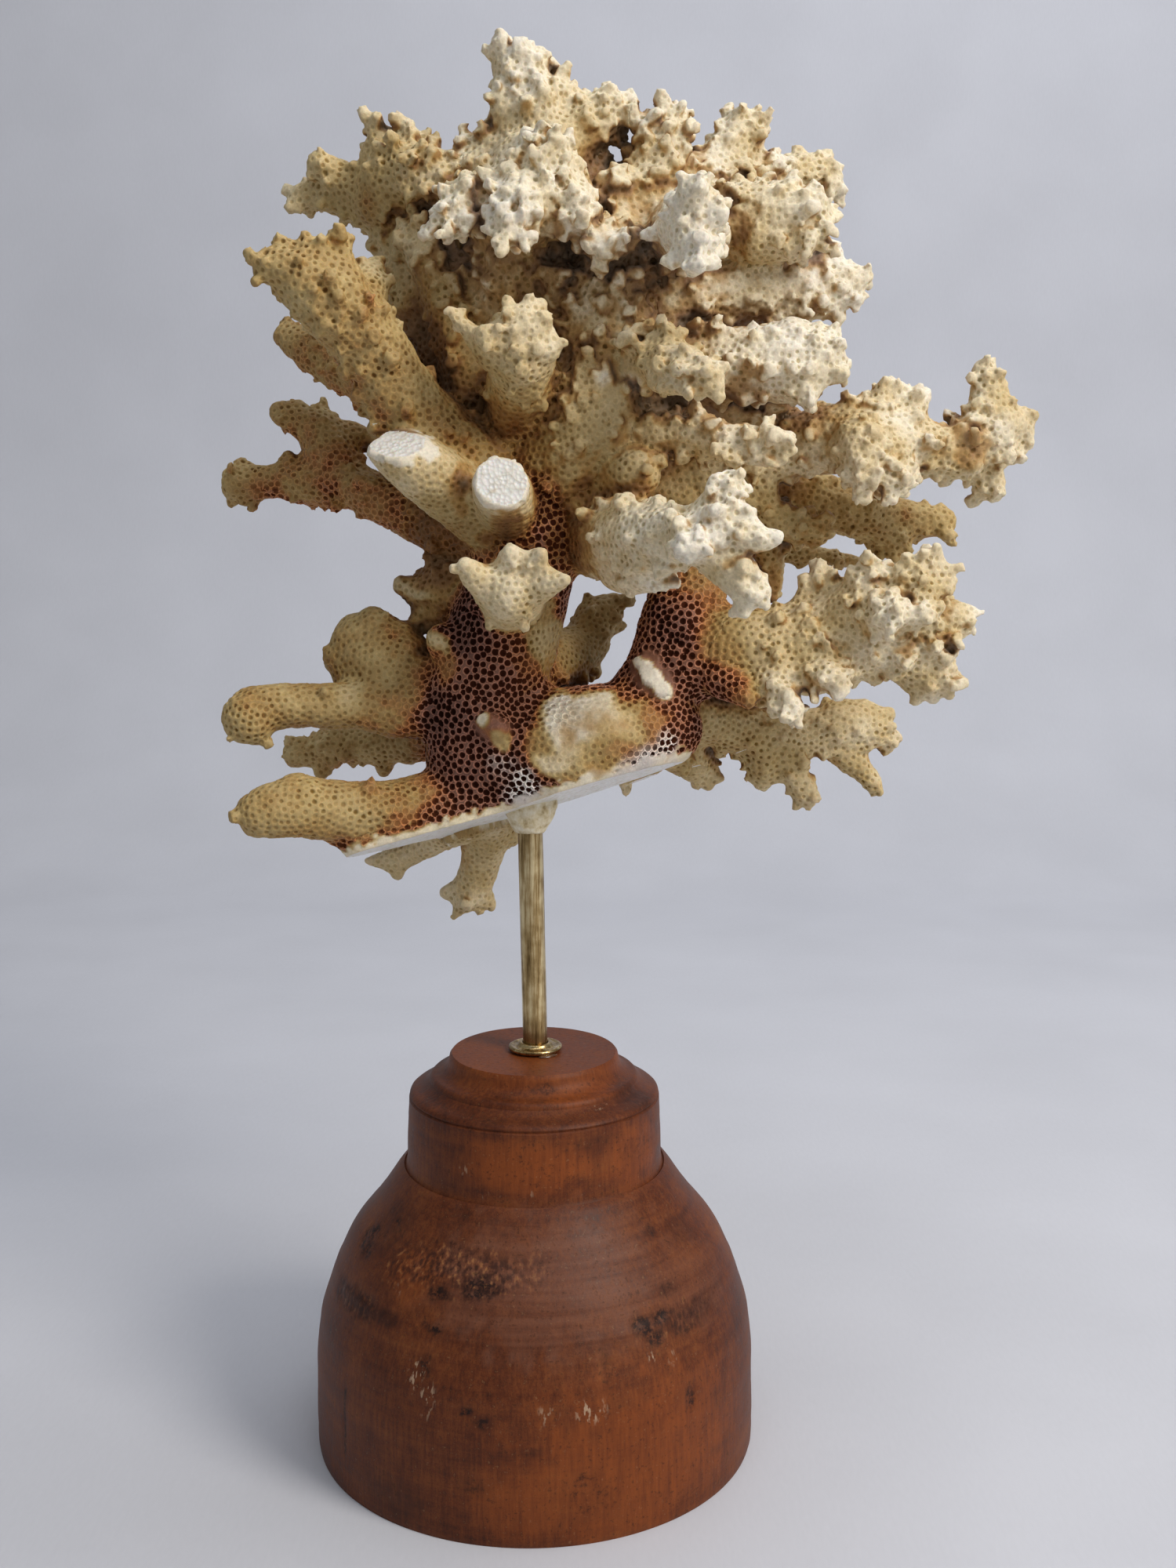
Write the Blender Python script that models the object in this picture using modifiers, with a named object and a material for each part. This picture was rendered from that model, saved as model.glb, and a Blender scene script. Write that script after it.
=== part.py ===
"""Branching coral on a brass rod, standing on a turned wooden base.

The limbs' routes are lists in millimetres, which MM turns into metres. +Z is up, +X is to
the right, +Y points to the back, and the origin is the centre of the base's underside.
"""

import bmesh
import bpy
from mathutils import Vector

MM = 0.001
GAP = 0.3 * MM

# Turned wooden base, as radius and height of each ring, from the foot up
BASE_HEIGHT = 80.9 * MM
BASE_SEGMENTS = 36
REST_EDGE = (44.4, 0)
FOOT_BAND = [(45, 0.6), (45, 12)]
DOME_CURVE = [(44.8, 20), (43.7, 28), (41.3, 36), (37.2, 44.5), (32.0, 51)]
NECK_FOOT = (27.5, 57.5)
NECK_BOTTOM = (26.05, 58.2)
NECK_TOP = (25.4, 72.6)
STEP_ARC = [(24.8, 73.2), (22.5, 74.4)]
STEP_EDGE = (21.0, 76.2)
COVE_ARC = [(19.0, 77.1), (17.3, 79.0)]
TOP_EDGE = (17.0, 80.9)

# Brass rod: it leans a little to the left on its way up
ROD_RADIUS = 2.5 * MM
ROD_BOTTOM = 62 * MM
ROD_TOP = 140 * MM
ROD_SIDE = 0.3 * MM
ROD_LEAN = -0.018
ROD_SIDES = 16

# Pressed brass collar on the base's top, as radius and height over the wood
COLLAR_PROFILE = [(3.5, 1.8), (4.0, 1.3), (5.0, 1.1), (5.35, 0.7), (5.2, 0.3)]
COLLAR_BORE = 2.85

# Filler at the top of the rod, as radius and height
FILLER_PROFILE = [(4.5, 133), (4.9, 131.4), (4.3, 129), (3.5, 127.2)]
FILLER_BORE = 2.85

# Flat saw cuts, as a limb's name, a point on the cut in millimetres, and the way it faces
SAW_CUTS = [
    ("left_stem", (0, 0, 130.9), (0.279, -0.233, -0.931)),
    ("low_left_finger", (0, 0, 130.9), (0.279, -0.233, -0.931)),
    ("sawn_branches", (-26, -19, 200.5), (-0.4, -0.72, 0.57)),
    ("sawn_branches", (-5, -25.5, 194), (0.08, -0.97, 0.22)),
]
SAW_BLOCK = 120 * MM

# Faceting of the limbs
VOXEL = 0.9 * MM
FACETS_PER_LIMB = 17
FACETS_PER_ROUTE = 12
FACETS_PER_MM2 = 0.0165
ROUTE_STEPS = 3
TUBE_BEVEL = 5
WELD = 0.001 * MM
SMOOTHING = 0.5
SMOOTH_ROUNDS = 3

# The limbs are laid out in front view: a route's x, z and radius are as EYE sees them on the
# plane y = 0, and the point's depth y then moves it along that line of sight.
EYE = Vector((11, -330.7, 183.2))

WOOD_ROUGHNESS = 0.42
BRASS_ROUGHNESS = 0.38
FILLER_ROUGHNESS = 0.7
CORAL_ROUGHNESS = 0.75
WOOD = (0.19, 0.062, 0.024)
BRASS = (0.42, 0.27, 0.09)
FILLER = (0.62, 0.52, 0.36)
MAROON = (0.085, 0.032, 0.026)
BROWN = (0.19, 0.09, 0.045)
OCHRE = (0.40, 0.28, 0.14)
CREAM = (0.62, 0.53, 0.38)
PALE = (0.76, 0.70, 0.58)

# Each route is a list of points (x, y, z, radius), from the root to the tip
LIMBS = {
    "left_stem": (MAROON, [
        [(-9, 2, 126, 11.5), (-10, 1, 138, 11), (-10, 0, 150, 11), (-7, 0, 161, 11.5),
         (-3, 0, 173, 10.5), (-1, 0, 185, 11), (0, 2, 197, 10.5), (-2, 3, 206, 10)],
        [(-12, 0, 130, 10), (-24, -4, 128, 8), (-34, -8, 126, 6)],
        [(-4, -1, 141, 12), (6, -2, 142, 13.2), (16, -2, 144, 12.4), (25, -1, 147, 8.6)],
        [(-2, 4, 134, 8), (10, 4, 139, 7), (22, 3, 143, 5)],
        [(-8, -8, 147, 5), (-7, -13, 147, 2.5)],
        [(-14, -2, 161, 5), (-17, -3, 163, 4), (-18, -7, 165, 2.8)],
    ]),
    "right_stem": (BROWN, [
        [(18, 0, 147, 8), (25, 1, 156, 8), (29, 2, 165, 8.5), (31, 4, 175, 7.5), (33, 8, 184, 6)],
        [(29, 1, 160, 8.5), (36, 0, 162, 8.5), (43, -1, 163, 8.5)],
        [(38, -6, 157, 5), (43, -14, 152.3, 1.9)],
    ]),
    "crown": (BROWN, [
        [(-2, 3, 203, 8), (-3, 4, 212, 9), (-3, 4, 220, 9.5), (-2, 2, 230, 9.5),
         (-1, 0, 242, 10), (0, 0, 251, 9.5)],
        [(3, -2, 216, 5), (5, -5, 226, 3.8), (5.5, -7, 234, 3)],
        [(-4, -2, 245, 9), (-10, -10, 247, 6.5), (-15, -15, 243, 4)],
        [(-1, -6, 246, 9), (-2, -16, 246, 7), (-4, -21, 242, 4)],
        [(2, -4, 247, 9), (7, -13, 247, 6), (9, -17, 244, 4)],
        [(-6, 3, 250, 8), (-12, 3, 251, 6)],
        [(0, -6, 252, 8), (3, -14, 254, 6)],
        [(0, 2, 252, 8.5), (0.5, 2, 260, 7.5), (0, 1, 266, 6), (-2.5, 0, 272, 4.4)],
        [(-3, 0, 270, 4), (-6, 0, 274.4, 2.4)],
        [(0, 0, 269, 4.4), (2, 0, 273.6, 2.2)],
        [(2, 0, 262, 6), (5.5, -1, 266.5, 3.6), (8, -1, 266.8, 2.2)],
        [(-4, 0, 264, 4), (-6.6, -3, 267.6, 2.2)],
        [(4, 0, 256, 7.5), (10, 0, 260.5, 5.4), (15.5, 0, 263.5, 4.6), (18, 0, 264.5, 3)],
        [(-7, 2, 255, 4.6), (-12.5, 2, 258.4, 2.4)],
    ]),
    "right_crown": (CREAM, [
        [(4, -1, 196, 10), (12, -5, 206, 11), (14, -5, 217, 10.5), (15, -3, 228, 10),
         (18, -1, 238, 9.5)],
        [(20, 0, 240, 8), (23, 0, 250, 7), (25.5, 0, 257, 5.4), (27, 0, 261.5, 4)],
        [(24, -1, 256, 4.6), (22, -2, 261.4, 2.6)],
        [(18, -2, 242, 7), (16, -5, 248, 5), (17, -7, 252, 3)],
        [(17, -8, 240, 5), (14, -17, 239, 3.6)],
        [(27, 3, 242, 7.5), (33, 6, 250, 6), (37.5, 8, 256, 5), (40, 8, 261, 4)],
        [(40, 8, 257, 4), (43.6, 8, 260.6, 2.4)],
        [(33, 6, 246, 7), (41, 9, 250, 5.6), (46, 10, 254, 3)],
        [(38, 8, 246, 6), (48, 14, 250.5, 4.6), (55, 16, 252.4, 3.8), (57.6, 16, 249.5, 2.6)],
        [(28, 2, 238, 8), (38, -2, 243, 7.6), (47, -6, 244.5, 6.6), (53, -8, 245, 5.2)],
        [(44, -6, 241, 5.4), (55, -9, 240, 3)],
    ]),
    "low_left_finger": (CREAM, [
        [(-18, -3, 131, 7), (-34, -10, 130.5, 5.8), (-47, -15, 131, 6.3), (-54, -17, 129.8, 5.3)],
        [(-47, -14, 133, 5), (-48, -15, 135, 3)],
        [(-39, -10, 127, 3), (-40, -11, 124.5, 1.5)],
    ]),
    "left_arm": (OCHRE, [
        [(-15, 0, 151, 7.5), (-30, 0, 151, 5.5), (-44, -3, 151.2, 4.3), (-55, -5, 150.5, 5)],
        [(-54, -5, 150.5, 5), (-56, -6, 148.5, 5.6)],
        [(-55, -5, 148, 4.5), (-56, -6, 146, 3)],
        [(-22, 4, 155, 7.5), (-30, 6, 160, 8), (-33, 7, 164, 6.4)],
        [(-29, 6, 162, 7), (-31.4, 6, 166.6, 4.6)],
        [(-33, 6, 158, 6.4), (-37, 6, 160.6, 4)],
        [(-26, 5, 160, 7), (-25.4, 5, 164.6, 3.4)],
    ]),
    "left_low_arm": (BROWN, [
        [(-11, 8, 147, 6.5), (-19, 17, 146, 5.5), (-28, 22, 144, 4.5), (-38, 26, 143.5, 4),
         (-47, 28, 141.5, 2.8)],
        [(-40, 26, 142, 3), (-42, 26, 138, 1.8)],
        [(-29, 23, 142, 3), (-29.5, 23, 138.3, 1.8)],
        [(-24, 20, 143, 3.5), (-24.5, 20, 140.5, 1.8)],
    ]),
    "left_cluster": (MAROON, [
        [(-8, 5, 173, 7.5), (-17, 8, 174, 6.2), (-22, 9, 174, 4), (-25.2, 9, 175, 2.2)],
        [(-17, 8, 175, 4.5), (-19, 9, 179.5, 2)],
        [(-13, 8, 175, 4.5), (-14, 10, 180, 2.6)],
        [(-17, 8, 170, 4.6), (-22, 9, 168.5, 2.4)],
    ]),
    "front_ledge": (CREAM, [
        [(-4, -6, 172, 7), (-4, -16, 173, 6.8), (-4, -24, 174, 6)],
        [(-7, -22, 174, 5), (-11, -27, 177, 3), (-13, -29, 179, 1.9)],
        [(-4, -20, 176, 4.5), (-4, -28, 181, 2.4)],
        [(-2, -24, 177, 3.5), (2, -29, 181, 2)],
        [(-1, -24, 174, 4.5), (4, -28, 175.5, 3), (6.5, -30, 176, 1.8)],
        [(-4, -18, 171, 4.5), (-5, -24, 171.5, 4)],
    ]),
    "sawn_branches": (CREAM, [
        [(-5, -2, 186, 8), (-12, -8, 191, 7), (-19, -14, 196, 6.5), (-25, -18, 200, 5.5)],
        [(-20, -14, 198, 5.5), (-29, -19, 200.5, 3)],
        [(-14, -8, 193, 6), (-14, -9, 199, 3.2)],
        [(-3, -4, 188, 6.5), (-5, -14, 191, 6), (-6, -24, 194, 5.6)],
    ]),
    "long_left_finger": (OCHRE, [
        [(-6, 4, 182, 7), (-22, 12, 188.5, 5.4), (-31, 14, 192.5, 4.6), (-34, 15, 194, 4)],
        [(-22, 14, 189, 5), (-34, 19, 193.8, 4.6), (-44, 22, 194.7, 4.6), (-51, 23, 194.9, 3.6),
         (-56.6, 24, 194.5, 3.8)],
        [(-37, 20, 196, 5.4), (-39, 21, 201, 5.4), (-42, 22, 205, 4.2), (-48.6, 22, 207.9, 2.2)],
        [(-42, 22, 204, 3.6), (-45, 22, 208.5, 1.9)],
        [(-40, 22, 203, 3.6), (-35, 22, 204, 2.6), (-31.5, 22, 203, 1.8)],
        [(-40, 22, 203, 3), (-40, 22, 207, 2)],
        [(-46, 22, 196, 3), (-47, 22, 199.5, 2)],
    ]),
    "upper_left_finger": (OCHRE, [
        [(-5, 0, 192, 9.5), (-21, -6, 205, 8.5), (-27, -10, 214, 7.3), (-32, -14, 222, 7),
         (-39, -19, 229.5, 7.6), (-46, -22, 234.5, 5.6), (-50.5, -23, 234.5, 3)],
        [(-38, -18, 231, 7), (-42, -20, 236, 5.4), (-46, -21, 239, 2.2)],
        [(-37, -16, 231, 6), (-37, -17, 236.5, 4.4), (-35.4, -16, 240.8, 2.1)],
        [(-33, -10, 228, 6), (-31, -6, 232, 4.6), (-29.4, -4, 235.4, 2.6)],
        [(-40, -20, 234, 5), (-40.5, -21, 238.6, 2.8)],
        [(-42, -19, 231, 5), (-47, -21, 231.5, 2.6)],
        [(-28, -9, 219, 5), (-25.5, -9, 221.5, 2)],
    ]),
    "small_left_finger": (BROWN, [
        [(-8, 6, 201, 6.5), (-22, 6, 209, 5.6), (-31, 7, 214, 5.6), (-38, 10, 217.6, 4.8),
         (-44, 13, 220.6, 3.6), (-46.6, 14, 222.2, 2.9)],
    ]),
    "top_left_branch": (OCHRE, [
        [(-6, 7, 206, 9), (-16, 10, 220, 7), (-22, 11, 231, 5.8), (-26, 12, 240, 4.8),
         (-29, 12, 247, 5)],
        [(-10, 2, 214, 7), (-15, 2, 226, 5), (-19, 3, 235, 4.5), (-22, 4, 241, 4)],
        [(-27, 12, 244, 5), (-33, 14, 247.4, 4.6), (-39, 15, 248.2, 3.8), (-43.4, 16, 247.4, 3)],
        [(-33, 13, 249, 4.6), (-38, 12, 252.6, 3.6), (-39.6, 11, 253.4, 3)],
        [(-28, 10, 247, 6), (-25, 7, 251.5, 6.6), (-20, 4, 251.6, 6.4), (-15, 2, 250, 5.5)],
        [(-27, 8, 254, 4), (-28.5, 8, 259, 2.8), (-30.4, 8, 262.2, 2)],
        [(-24, 7, 256, 4), (-23, 7, 260.6, 2.8)],
        [(-29, 9, 252, 3.6), (-31.3, 9, 255.6, 2)],
        [(-23, 6, 240, 4), (-18.4, 0, 238, 2.4)],
    ]),
    "centre_front": (CREAM, [
        [(-2, -4, 208, 7), (-2, -12, 214, 6.8), (-1.5, -20, 219, 6.8), (-1, -22, 223, 5.6)],
        [(0, -20, 219, 5.5), (3, -23, 220, 3.6)],
        [(-4, -20, 220, 5), (-8.5, -25, 222.5, 3)],
        [(-7, -20, 219, 4), (-12, -22, 223.5, 2.4), (-15.5, -23, 227, 1.5)],
        [(0, -21, 224, 4), (2, -22, 228, 2)],
        [(-4, -21, 223, 3.6), (-4, -24, 226.6, 2)],
    ]),
    "front_column": (PALE, [
        [(28, -3, 241, 7.5), (30, -18, 242, 6.5), (31, -29, 243, 5.6)],
        [(31, -29, 244, 5.2), (31, -32, 249.4, 3.6)],
        [(31, -29, 241, 5), (31.5, -32, 236.4, 3.6)],
        [(32, -29, 243, 4.4), (36, -32, 244.6, 2.6)],
    ]),
    "right_upper_arm": (CREAM, [
        [(16, 0, 226, 9), (30, 1, 230, 8), (40, 2, 230.8, 7.4), (50, 3, 230.4, 6),
         (57, 3, 230.2, 4.8), (64.4, 2, 229, 2)],
        [(52, 3, 233, 4.6), (57.6, 3, 236.8, 2.8)],
        [(58, 3, 232, 4), (63.8, 2, 233.8, 2.4)],
    ]),
    "right_lower_arm": (CREAM, [
        [(13, -4, 211, 8.5), (28, -5, 215.4, 7.4), (40, -8, 217, 7.4), (50, -10, 218, 7),
         (55.4, -11, 218.6, 6)],
        [(50, -10, 221, 5), (58, -11, 222.4, 2.8)],
        [(48, -10, 214.5, 4.8), (53, -13, 212, 3.4), (54, -13, 208.8, 2.2)],
        [(55, -12, 216, 4.4), (60, -12, 214.8, 2.4)],
    ]),
    "front_shelf": (CREAM, [
        [(17, -4, 218, 7.5), (24, -16, 218, 5.6), (29, -25, 216.4, 5), (34, -29, 214.6, 4)],
        [(24, -24, 213.8, 2.2), (30, -28, 213, 3), (36, -31, 212.8, 2.4)],
        [(21, -12, 220, 4.6), (18.6, -18, 221, 2.6)],
        [(24, -15, 220, 4.6), (26, -20, 223, 3)],
    ]),
    "knobby_arm": (CREAM, [
        [(10, -4, 203, 7), (22, -9, 204.5, 4.6), (33, -14, 203.5, 4.2), (42, -18, 202.5, 3.8),
         (50.5, -22, 203.3, 2.2)],
        [(40, -17, 201, 3.6), (48.5, -20, 198.6, 1.9)],
        [(30, -13, 204, 3.6), (35, -17, 206, 2)],
        [(36, -15, 203, 3.6), (37.5, -20, 200.5, 2.4)],
    ]),
    "far_right_arm": (CREAM, [
        [(6, 5, 196, 9), (24, 8, 196, 7), (38, 7, 198, 6.5), (52, 4, 202, 6.6),
         (64, 0, 203, 7.4), (71, -2, 201.6, 6)],
        [(62, 0, 203, 6.5), (64, -7, 201, 6), (65, -9, 196.4, 4.6)],
        [(68, -4, 200, 5.6), (71, -7, 194.6, 3.6)],
        [(62, 0, 206, 5), (61.6, 0, 210, 2.4)],
        [(66, 0, 206, 5), (68, 0, 211.6, 3), (71, 0, 213, 1.8)],
        [(70, 0, 205, 5), (76, 0, 211.4, 2.2)],
        [(70, 0, 202, 6), (77, 1, 201, 5.6), (82, 2, 200, 5.4), (88, 3, 204, 6.2)],
        [(88.5, 3, 206, 5.4), (88.3, 3, 212, 4), (87.4, 3, 216, 3)],
        [(90, 3, 205, 5), (94, 3, 205.6, 3.6), (96.3, 3, 201.8, 1.8)],
        [(88, 4, 202, 4.6), (88, 5, 197, 3.8), (90, 5, 192.6, 2.4)],
        [(91, 3, 203, 3.8), (93.5, 3, 199.5, 2)],
    ]),
    "right_back_arm": (BROWN, [
        [(8, 10, 190, 7), (28, 20, 193, 5.8), (44, 22, 194, 5.6), (57, 23, 191, 5.4),
         (67, 24, 187.6, 5.4), (71, 24, 182.6, 3.4)],
        [(68, 24, 188, 4.8), (75, 25, 187.5, 3.6), (79.8, 25, 187.2, 3.4)],
        [(26, 20, 192, 5), (35, 27, 187.5, 4), (44, 34, 182.4, 2.9), (54, 36, 181, 2.1),
         (63.5, 36, 179.5, 1.3)],
    ]),
    "tan_stub": (BROWN, [
        [(5, -1, 191, 7.5), (15, -6, 195, 6.2), (19.8, -12, 196.3, 5.4)],
    ]),
    "tan_branch": (OCHRE, [
        [(26, 7, 193, 5.5), (42, 6, 190.6, 4.4), (49, 4, 187.4, 4), (56, 3, 185, 3.2)],
        [(42, 6, 193, 3.6), (46, 3, 194, 2.4)],
        [(44, 7, 188, 4), (46.6, 10, 179, 3), (47, 10, 173, 2)],
    ]),
    "white_branch": (PALE, [
        [(11, 2, 184, 7), (16, -10, 183.6, 8.4), (21, -22, 183.6, 8), (28, -32, 184.5, 6.6),
         (36, -39, 185, 6)],
        [(18, -14, 179, 6), (22, -22, 177.5, 4.8), (27, -26, 176, 2.4)],
        [(33, -36, 187.5, 4.4), (38.5, -38, 193.5, 3.9)],
        [(37, -39, 188, 3.6), (43, -42, 189.3, 1.8)],
        [(37, -39, 185.5, 4.4), (43, -42, 184.5, 3.4), (47.5, -43, 183.8, 2.1)],
        [(30, -35, 184, 5), (31, -43, 182, 4.2)],
        [(36, -38, 181, 5), (40, -40, 176.5, 4.6), (43.3, -41, 173.2, 3.9)],
        [(16, -12, 187, 5), (14.5, -15, 189.5, 2.6)],
    ]),
    "right_fan": (CREAM, [
        [(39, -2, 162.5, 8), (52, -4, 162.5, 8.2), (62, -6, 163, 7.4), (72, -8, 163, 6.8),
         (79, -9, 162, 5)],
        [(46, -2, 166, 5), (55, -4, 168, 4.6), (63, -8, 170, 5)],
        [(53, -3, 170, 3.4), (55.3, -3, 177.5, 1.2)],
        [(57, -4, 170, 3.6), (58.6, -4, 179, 1.2)],
        [(62, -7, 169, 6), (65.6, -9, 175, 4.6), (67.6, -10, 177.6, 3)],
        [(71, -10, 170, 5.6), (75, -12, 177, 4.2), (78.5, -13, 181, 2.4)],
        [(76, -12, 174, 4.4), (81, -12, 178, 2.6)],
        [(68, -10, 168, 5.6), (70, -18, 169, 4)],
        [(74, -11, 168, 5), (77, -17, 169.5, 3.2)],
        [(76, -9, 167, 5), (83, -9, 169, 3.4), (87, -9, 169.5, 1.7)],
        [(80, -9, 167, 4), (86.5, -9, 166, 1.7)],
        [(74, -8, 160, 5.4), (80, -9, 156.5, 4), (85, -9, 156, 1.8)],
        [(76, -8, 157, 4.4), (79, -9, 153.5, 2.6)],
        [(55, -8, 158, 5), (59, -15, 157, 4), (61.5, -17, 154, 2.3)],
        [(48, -5, 160, 6.5), (49, -12, 154, 4), (52, -16, 150, 2.8)],
    ]),
    "low_right_branch": (OCHRE, [
        [(24, 4, 152, 7), (37, 12, 148.5, 5.6), (47, 16, 145.5, 5.6), (58, 18, 146, 5),
         (67, 18, 146.5, 4.4)],
        [(60, 18, 147.5, 5), (65.5, 18, 149, 4)],
        [(65, 18, 148, 3.4), (70.5, 18, 149.8, 2)],
        [(67, 18, 146, 3.6), (72, 18, 145, 1.8)],
        [(60, 18, 143.5, 3.6), (65, 18, 139, 3), (68, 18, 135.5, 2.2)],
        [(46, 16, 143, 5.4), (46, 16, 138, 4), (45.5, 16, 135.3, 1.8)],
        [(50, 16, 142, 4.6), (52.5, 16, 137, 3.2), (54.8, 16, 132.6, 2.4)],
        [(43, 15, 145, 4), (43, 15, 140.5, 2.2)],
    ]),
    "low_back_branch": (OCHRE, [
        [(22, 6, 147, 7), (29, 16, 143.5, 5.6), (33, 22, 139, 4.4), (34.6, 22, 135.8, 2.4)],
        [(22, 8, 142, 5), (18.6, 12, 136.6, 2.2)],
        [(32, 22, 142, 2.8), (35.6, 22, 143.2, 1.4)],
        [(33, 22, 138.5, 2.6), (37.6, 22, 136.6, 1.4)],
        [(30, 20, 146, 3.6), (33.6, 22, 148.6, 1.6)],
    ]),
    "hanging_branch": (OCHRE, [
        [(-8, 8, 133, 6), (-9.6, 18, 126, 5.2), (-10.7, 22, 119, 4.1), (-12.6, 23, 113.5, 3.8)],
        [(-13, 23, 114, 2.8), (-18, 23, 113.6, 1.5)],
        [(-13, 23, 112.5, 2.6), (-15, 23, 110.2, 1.6)],
        [(-11, 23, 114, 2.8), (-8.4, 23, 111, 1.5)],
        [(-7, 18, 127, 4), (-4, 20, 124.5, 2.2)],
    ]),
    "left_hanging_branch": (PALE, [
        [(-13, 8, 129, 5), (-22, 16, 123, 3), (-29, 18, 120.5, 2.2), (-33, 18, 120.2, 1.4)],
        [(-27, 18, 121, 2), (-27.4, 18, 117.2, 1.5)],
    ]),
    "mid_back_branch": (BROWN, [
        [(-3, 4, 157, 7), (9, 24, 162, 5.4), (13, 28, 169, 4.6), (16.5, 30, 171.8, 2.2)],
        [(13, 28, 167, 3.6), (17.8, 30, 167, 1.7)],
        [(9, 26, 161, 4.6), (12, 28, 158, 2.4)],
    ]),
    "back_crown": (OCHRE, [
        [(-1, 4, 228, 8), (1, 22, 238, 6.5), (2, 38, 247, 5.5), (2, 48, 253, 3.4)],
        [(1, 30, 243, 5), (-8, 42, 247, 3.4), (-12, 48, 249, 2)],
        [(2, 32, 244, 5), (10, 44, 247, 3.6), (14, 50, 248, 2)],
        [(2, 38, 246, 4), (4, 52, 246, 2.4)],
    ]),
    "back_left_branch": (OCHRE, [
        [(-4, 6, 200, 8), (-10, 26, 208, 6.5), (-14, 42, 215, 5.4), (-17, 54, 220, 3.2)],
        [(-12, 34, 211, 5), (-20, 46, 210, 3.4), (-23, 52, 209, 2)],
        [(-13, 38, 213, 4.6), (-9, 52, 217, 3), (-7, 58, 220, 1.8)],
    ]),
    "back_middle_branch": (BROWN, [
        [(2, 6, 188, 8), (7, 26, 193, 6.4), (9, 42, 197, 5.2), (10, 56, 201, 3.2)],
        [(8, 34, 195, 5), (15, 48, 197, 3.4), (18, 54, 198, 2)],
        [(8, 36, 195, 4.6), (4, 50, 193, 3), (2, 58, 193, 1.8)],
    ]),
    "back_right_branch": (CREAM, [
        [(15, 2, 216, 8), (25, 22, 220, 6), (33, 36, 224, 5), (39, 48, 227, 3)],
        [(29, 30, 222, 4.8), (30, 46, 226, 3.2), (29, 54, 229, 2)],
        [(32, 36, 223, 4.4), (42, 44, 221, 2.8), (47, 48, 219, 1.8)],
    ]),
    "back_upper_right": (CREAM, [
        [(22, 2, 238, 7.5), (31, 20, 242, 5.6), (38, 32, 244, 4.6), (44, 40, 245, 3)],
        [(33, 24, 243, 4.6), (32, 38, 247, 3.2), (31, 46, 249, 2)],
        [(37, 32, 244, 4), (46, 34, 241, 2.4)],
    ]),
    "back_low_branch": (MAROON, [
        [(-7, 6, 164, 8), (-9, 26, 166, 6), (-10, 40, 168, 5), (-10, 52, 172, 3)],
        [(-9, 34, 167, 4.8), (-4, 46, 166, 3.2), (-2, 52, 165, 2)],
        [(-10, 40, 168, 4.4), (-15, 50, 170, 2.6)],
    ]),
    "back_foot_branch": (BROWN, [
        [(12, 4, 145, 7.5), (16, 22, 146, 5.6), (18, 36, 147, 4.6), (19, 46, 149, 2.8)],
        [(17, 30, 146.5, 4.4), (24, 40, 147, 2.8), (27, 44, 147, 1.8)],
        [(17, 32, 146, 4), (12, 44, 145, 2.6)],
    ]),
    "back_fan": (CREAM, [
        [(39, 3, 163, 7.5), (48, 18, 163, 5.6), (56, 30, 164, 4.8), (62, 40, 165, 3)],
        [(52, 24, 163.5, 4.8), (52, 40, 166, 3.2), (51, 48, 168, 2)],
        [(56, 30, 164, 4.2), (66, 34, 162, 2.6)],
    ]),
}


def clear_scene():
    for obj in list(bpy.data.objects):
        bpy.data.objects.remove(obj, do_unlink=True)


def new_collection(name):
    collection = bpy.data.collections.new(name)
    bpy.context.scene.collection.children.link(collection)
    return collection


def material(name, colour, roughness, metallic=0.0):
    made = bpy.data.materials.new(name)
    made.use_nodes = True
    shader = made.node_tree.nodes["Principled BSDF"]
    shader.inputs["Base Color"].default_value = (*colour, 1)
    shader.inputs["Roughness"].default_value = roughness
    shader.inputs["Metallic"].default_value = metallic
    made.diffuse_color = (*colour, 1)
    return made


def mesh_object(name, mesh, collection):
    obj = bpy.data.objects.new(name, mesh)
    collection.objects.link(obj)
    return obj


def bake_modifiers(obj):
    """Turns what the object's modifiers show into its own mesh."""
    graph = bpy.context.evaluated_depsgraph_get()
    baked = bpy.data.meshes.new_from_object(obj.evaluated_get(graph))
    obj.modifiers.clear()
    obj.data = baked


def screw_object(name, profile, segments, collection):
    """A turned body from a closed profile of (radius, height) points in millimetres."""
    mesh = bpy.data.meshes.new(name)
    points = [(radius * MM, 0, height * MM) for radius, height in profile]
    closed = profile[0][0] > 0
    edges = [(i, i + 1) for i in range(len(points) - 1)]
    if closed:
        edges.append((len(points) - 1, 0))
    mesh.from_pydata(points, edges, [])
    obj = mesh_object(name, mesh, collection)
    turn = obj.modifiers.new("Turn", "SCREW")
    turn.steps = segments
    turn.render_steps = segments
    turn.use_merge_vertices = True
    turn.merge_threshold = WELD
    return obj


def cut(obj, cutter):
    """Takes the cutter's shape out of the object."""
    boolean = obj.modifiers.new("Cut", "BOOLEAN")
    boolean.operation = "DIFFERENCE"
    boolean.solver = "MANIFOLD"
    boolean.object = cutter


def grown_copy(obj, distance, collection):
    """A wire copy of a mesh, swollen by the distance, for cutting a gap round it."""
    copy = mesh_object(obj.name + "_clearance", obj.data.copy(), collection)
    copy.matrix_world = obj.matrix_world
    swell = copy.modifiers.new("Swell", "DISPLACE")
    swell.strength = distance
    swell.mid_level = 0
    bake_modifiers(copy)
    copy.hide_render = True
    copy.display_type = "WIRE"
    return copy


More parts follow.
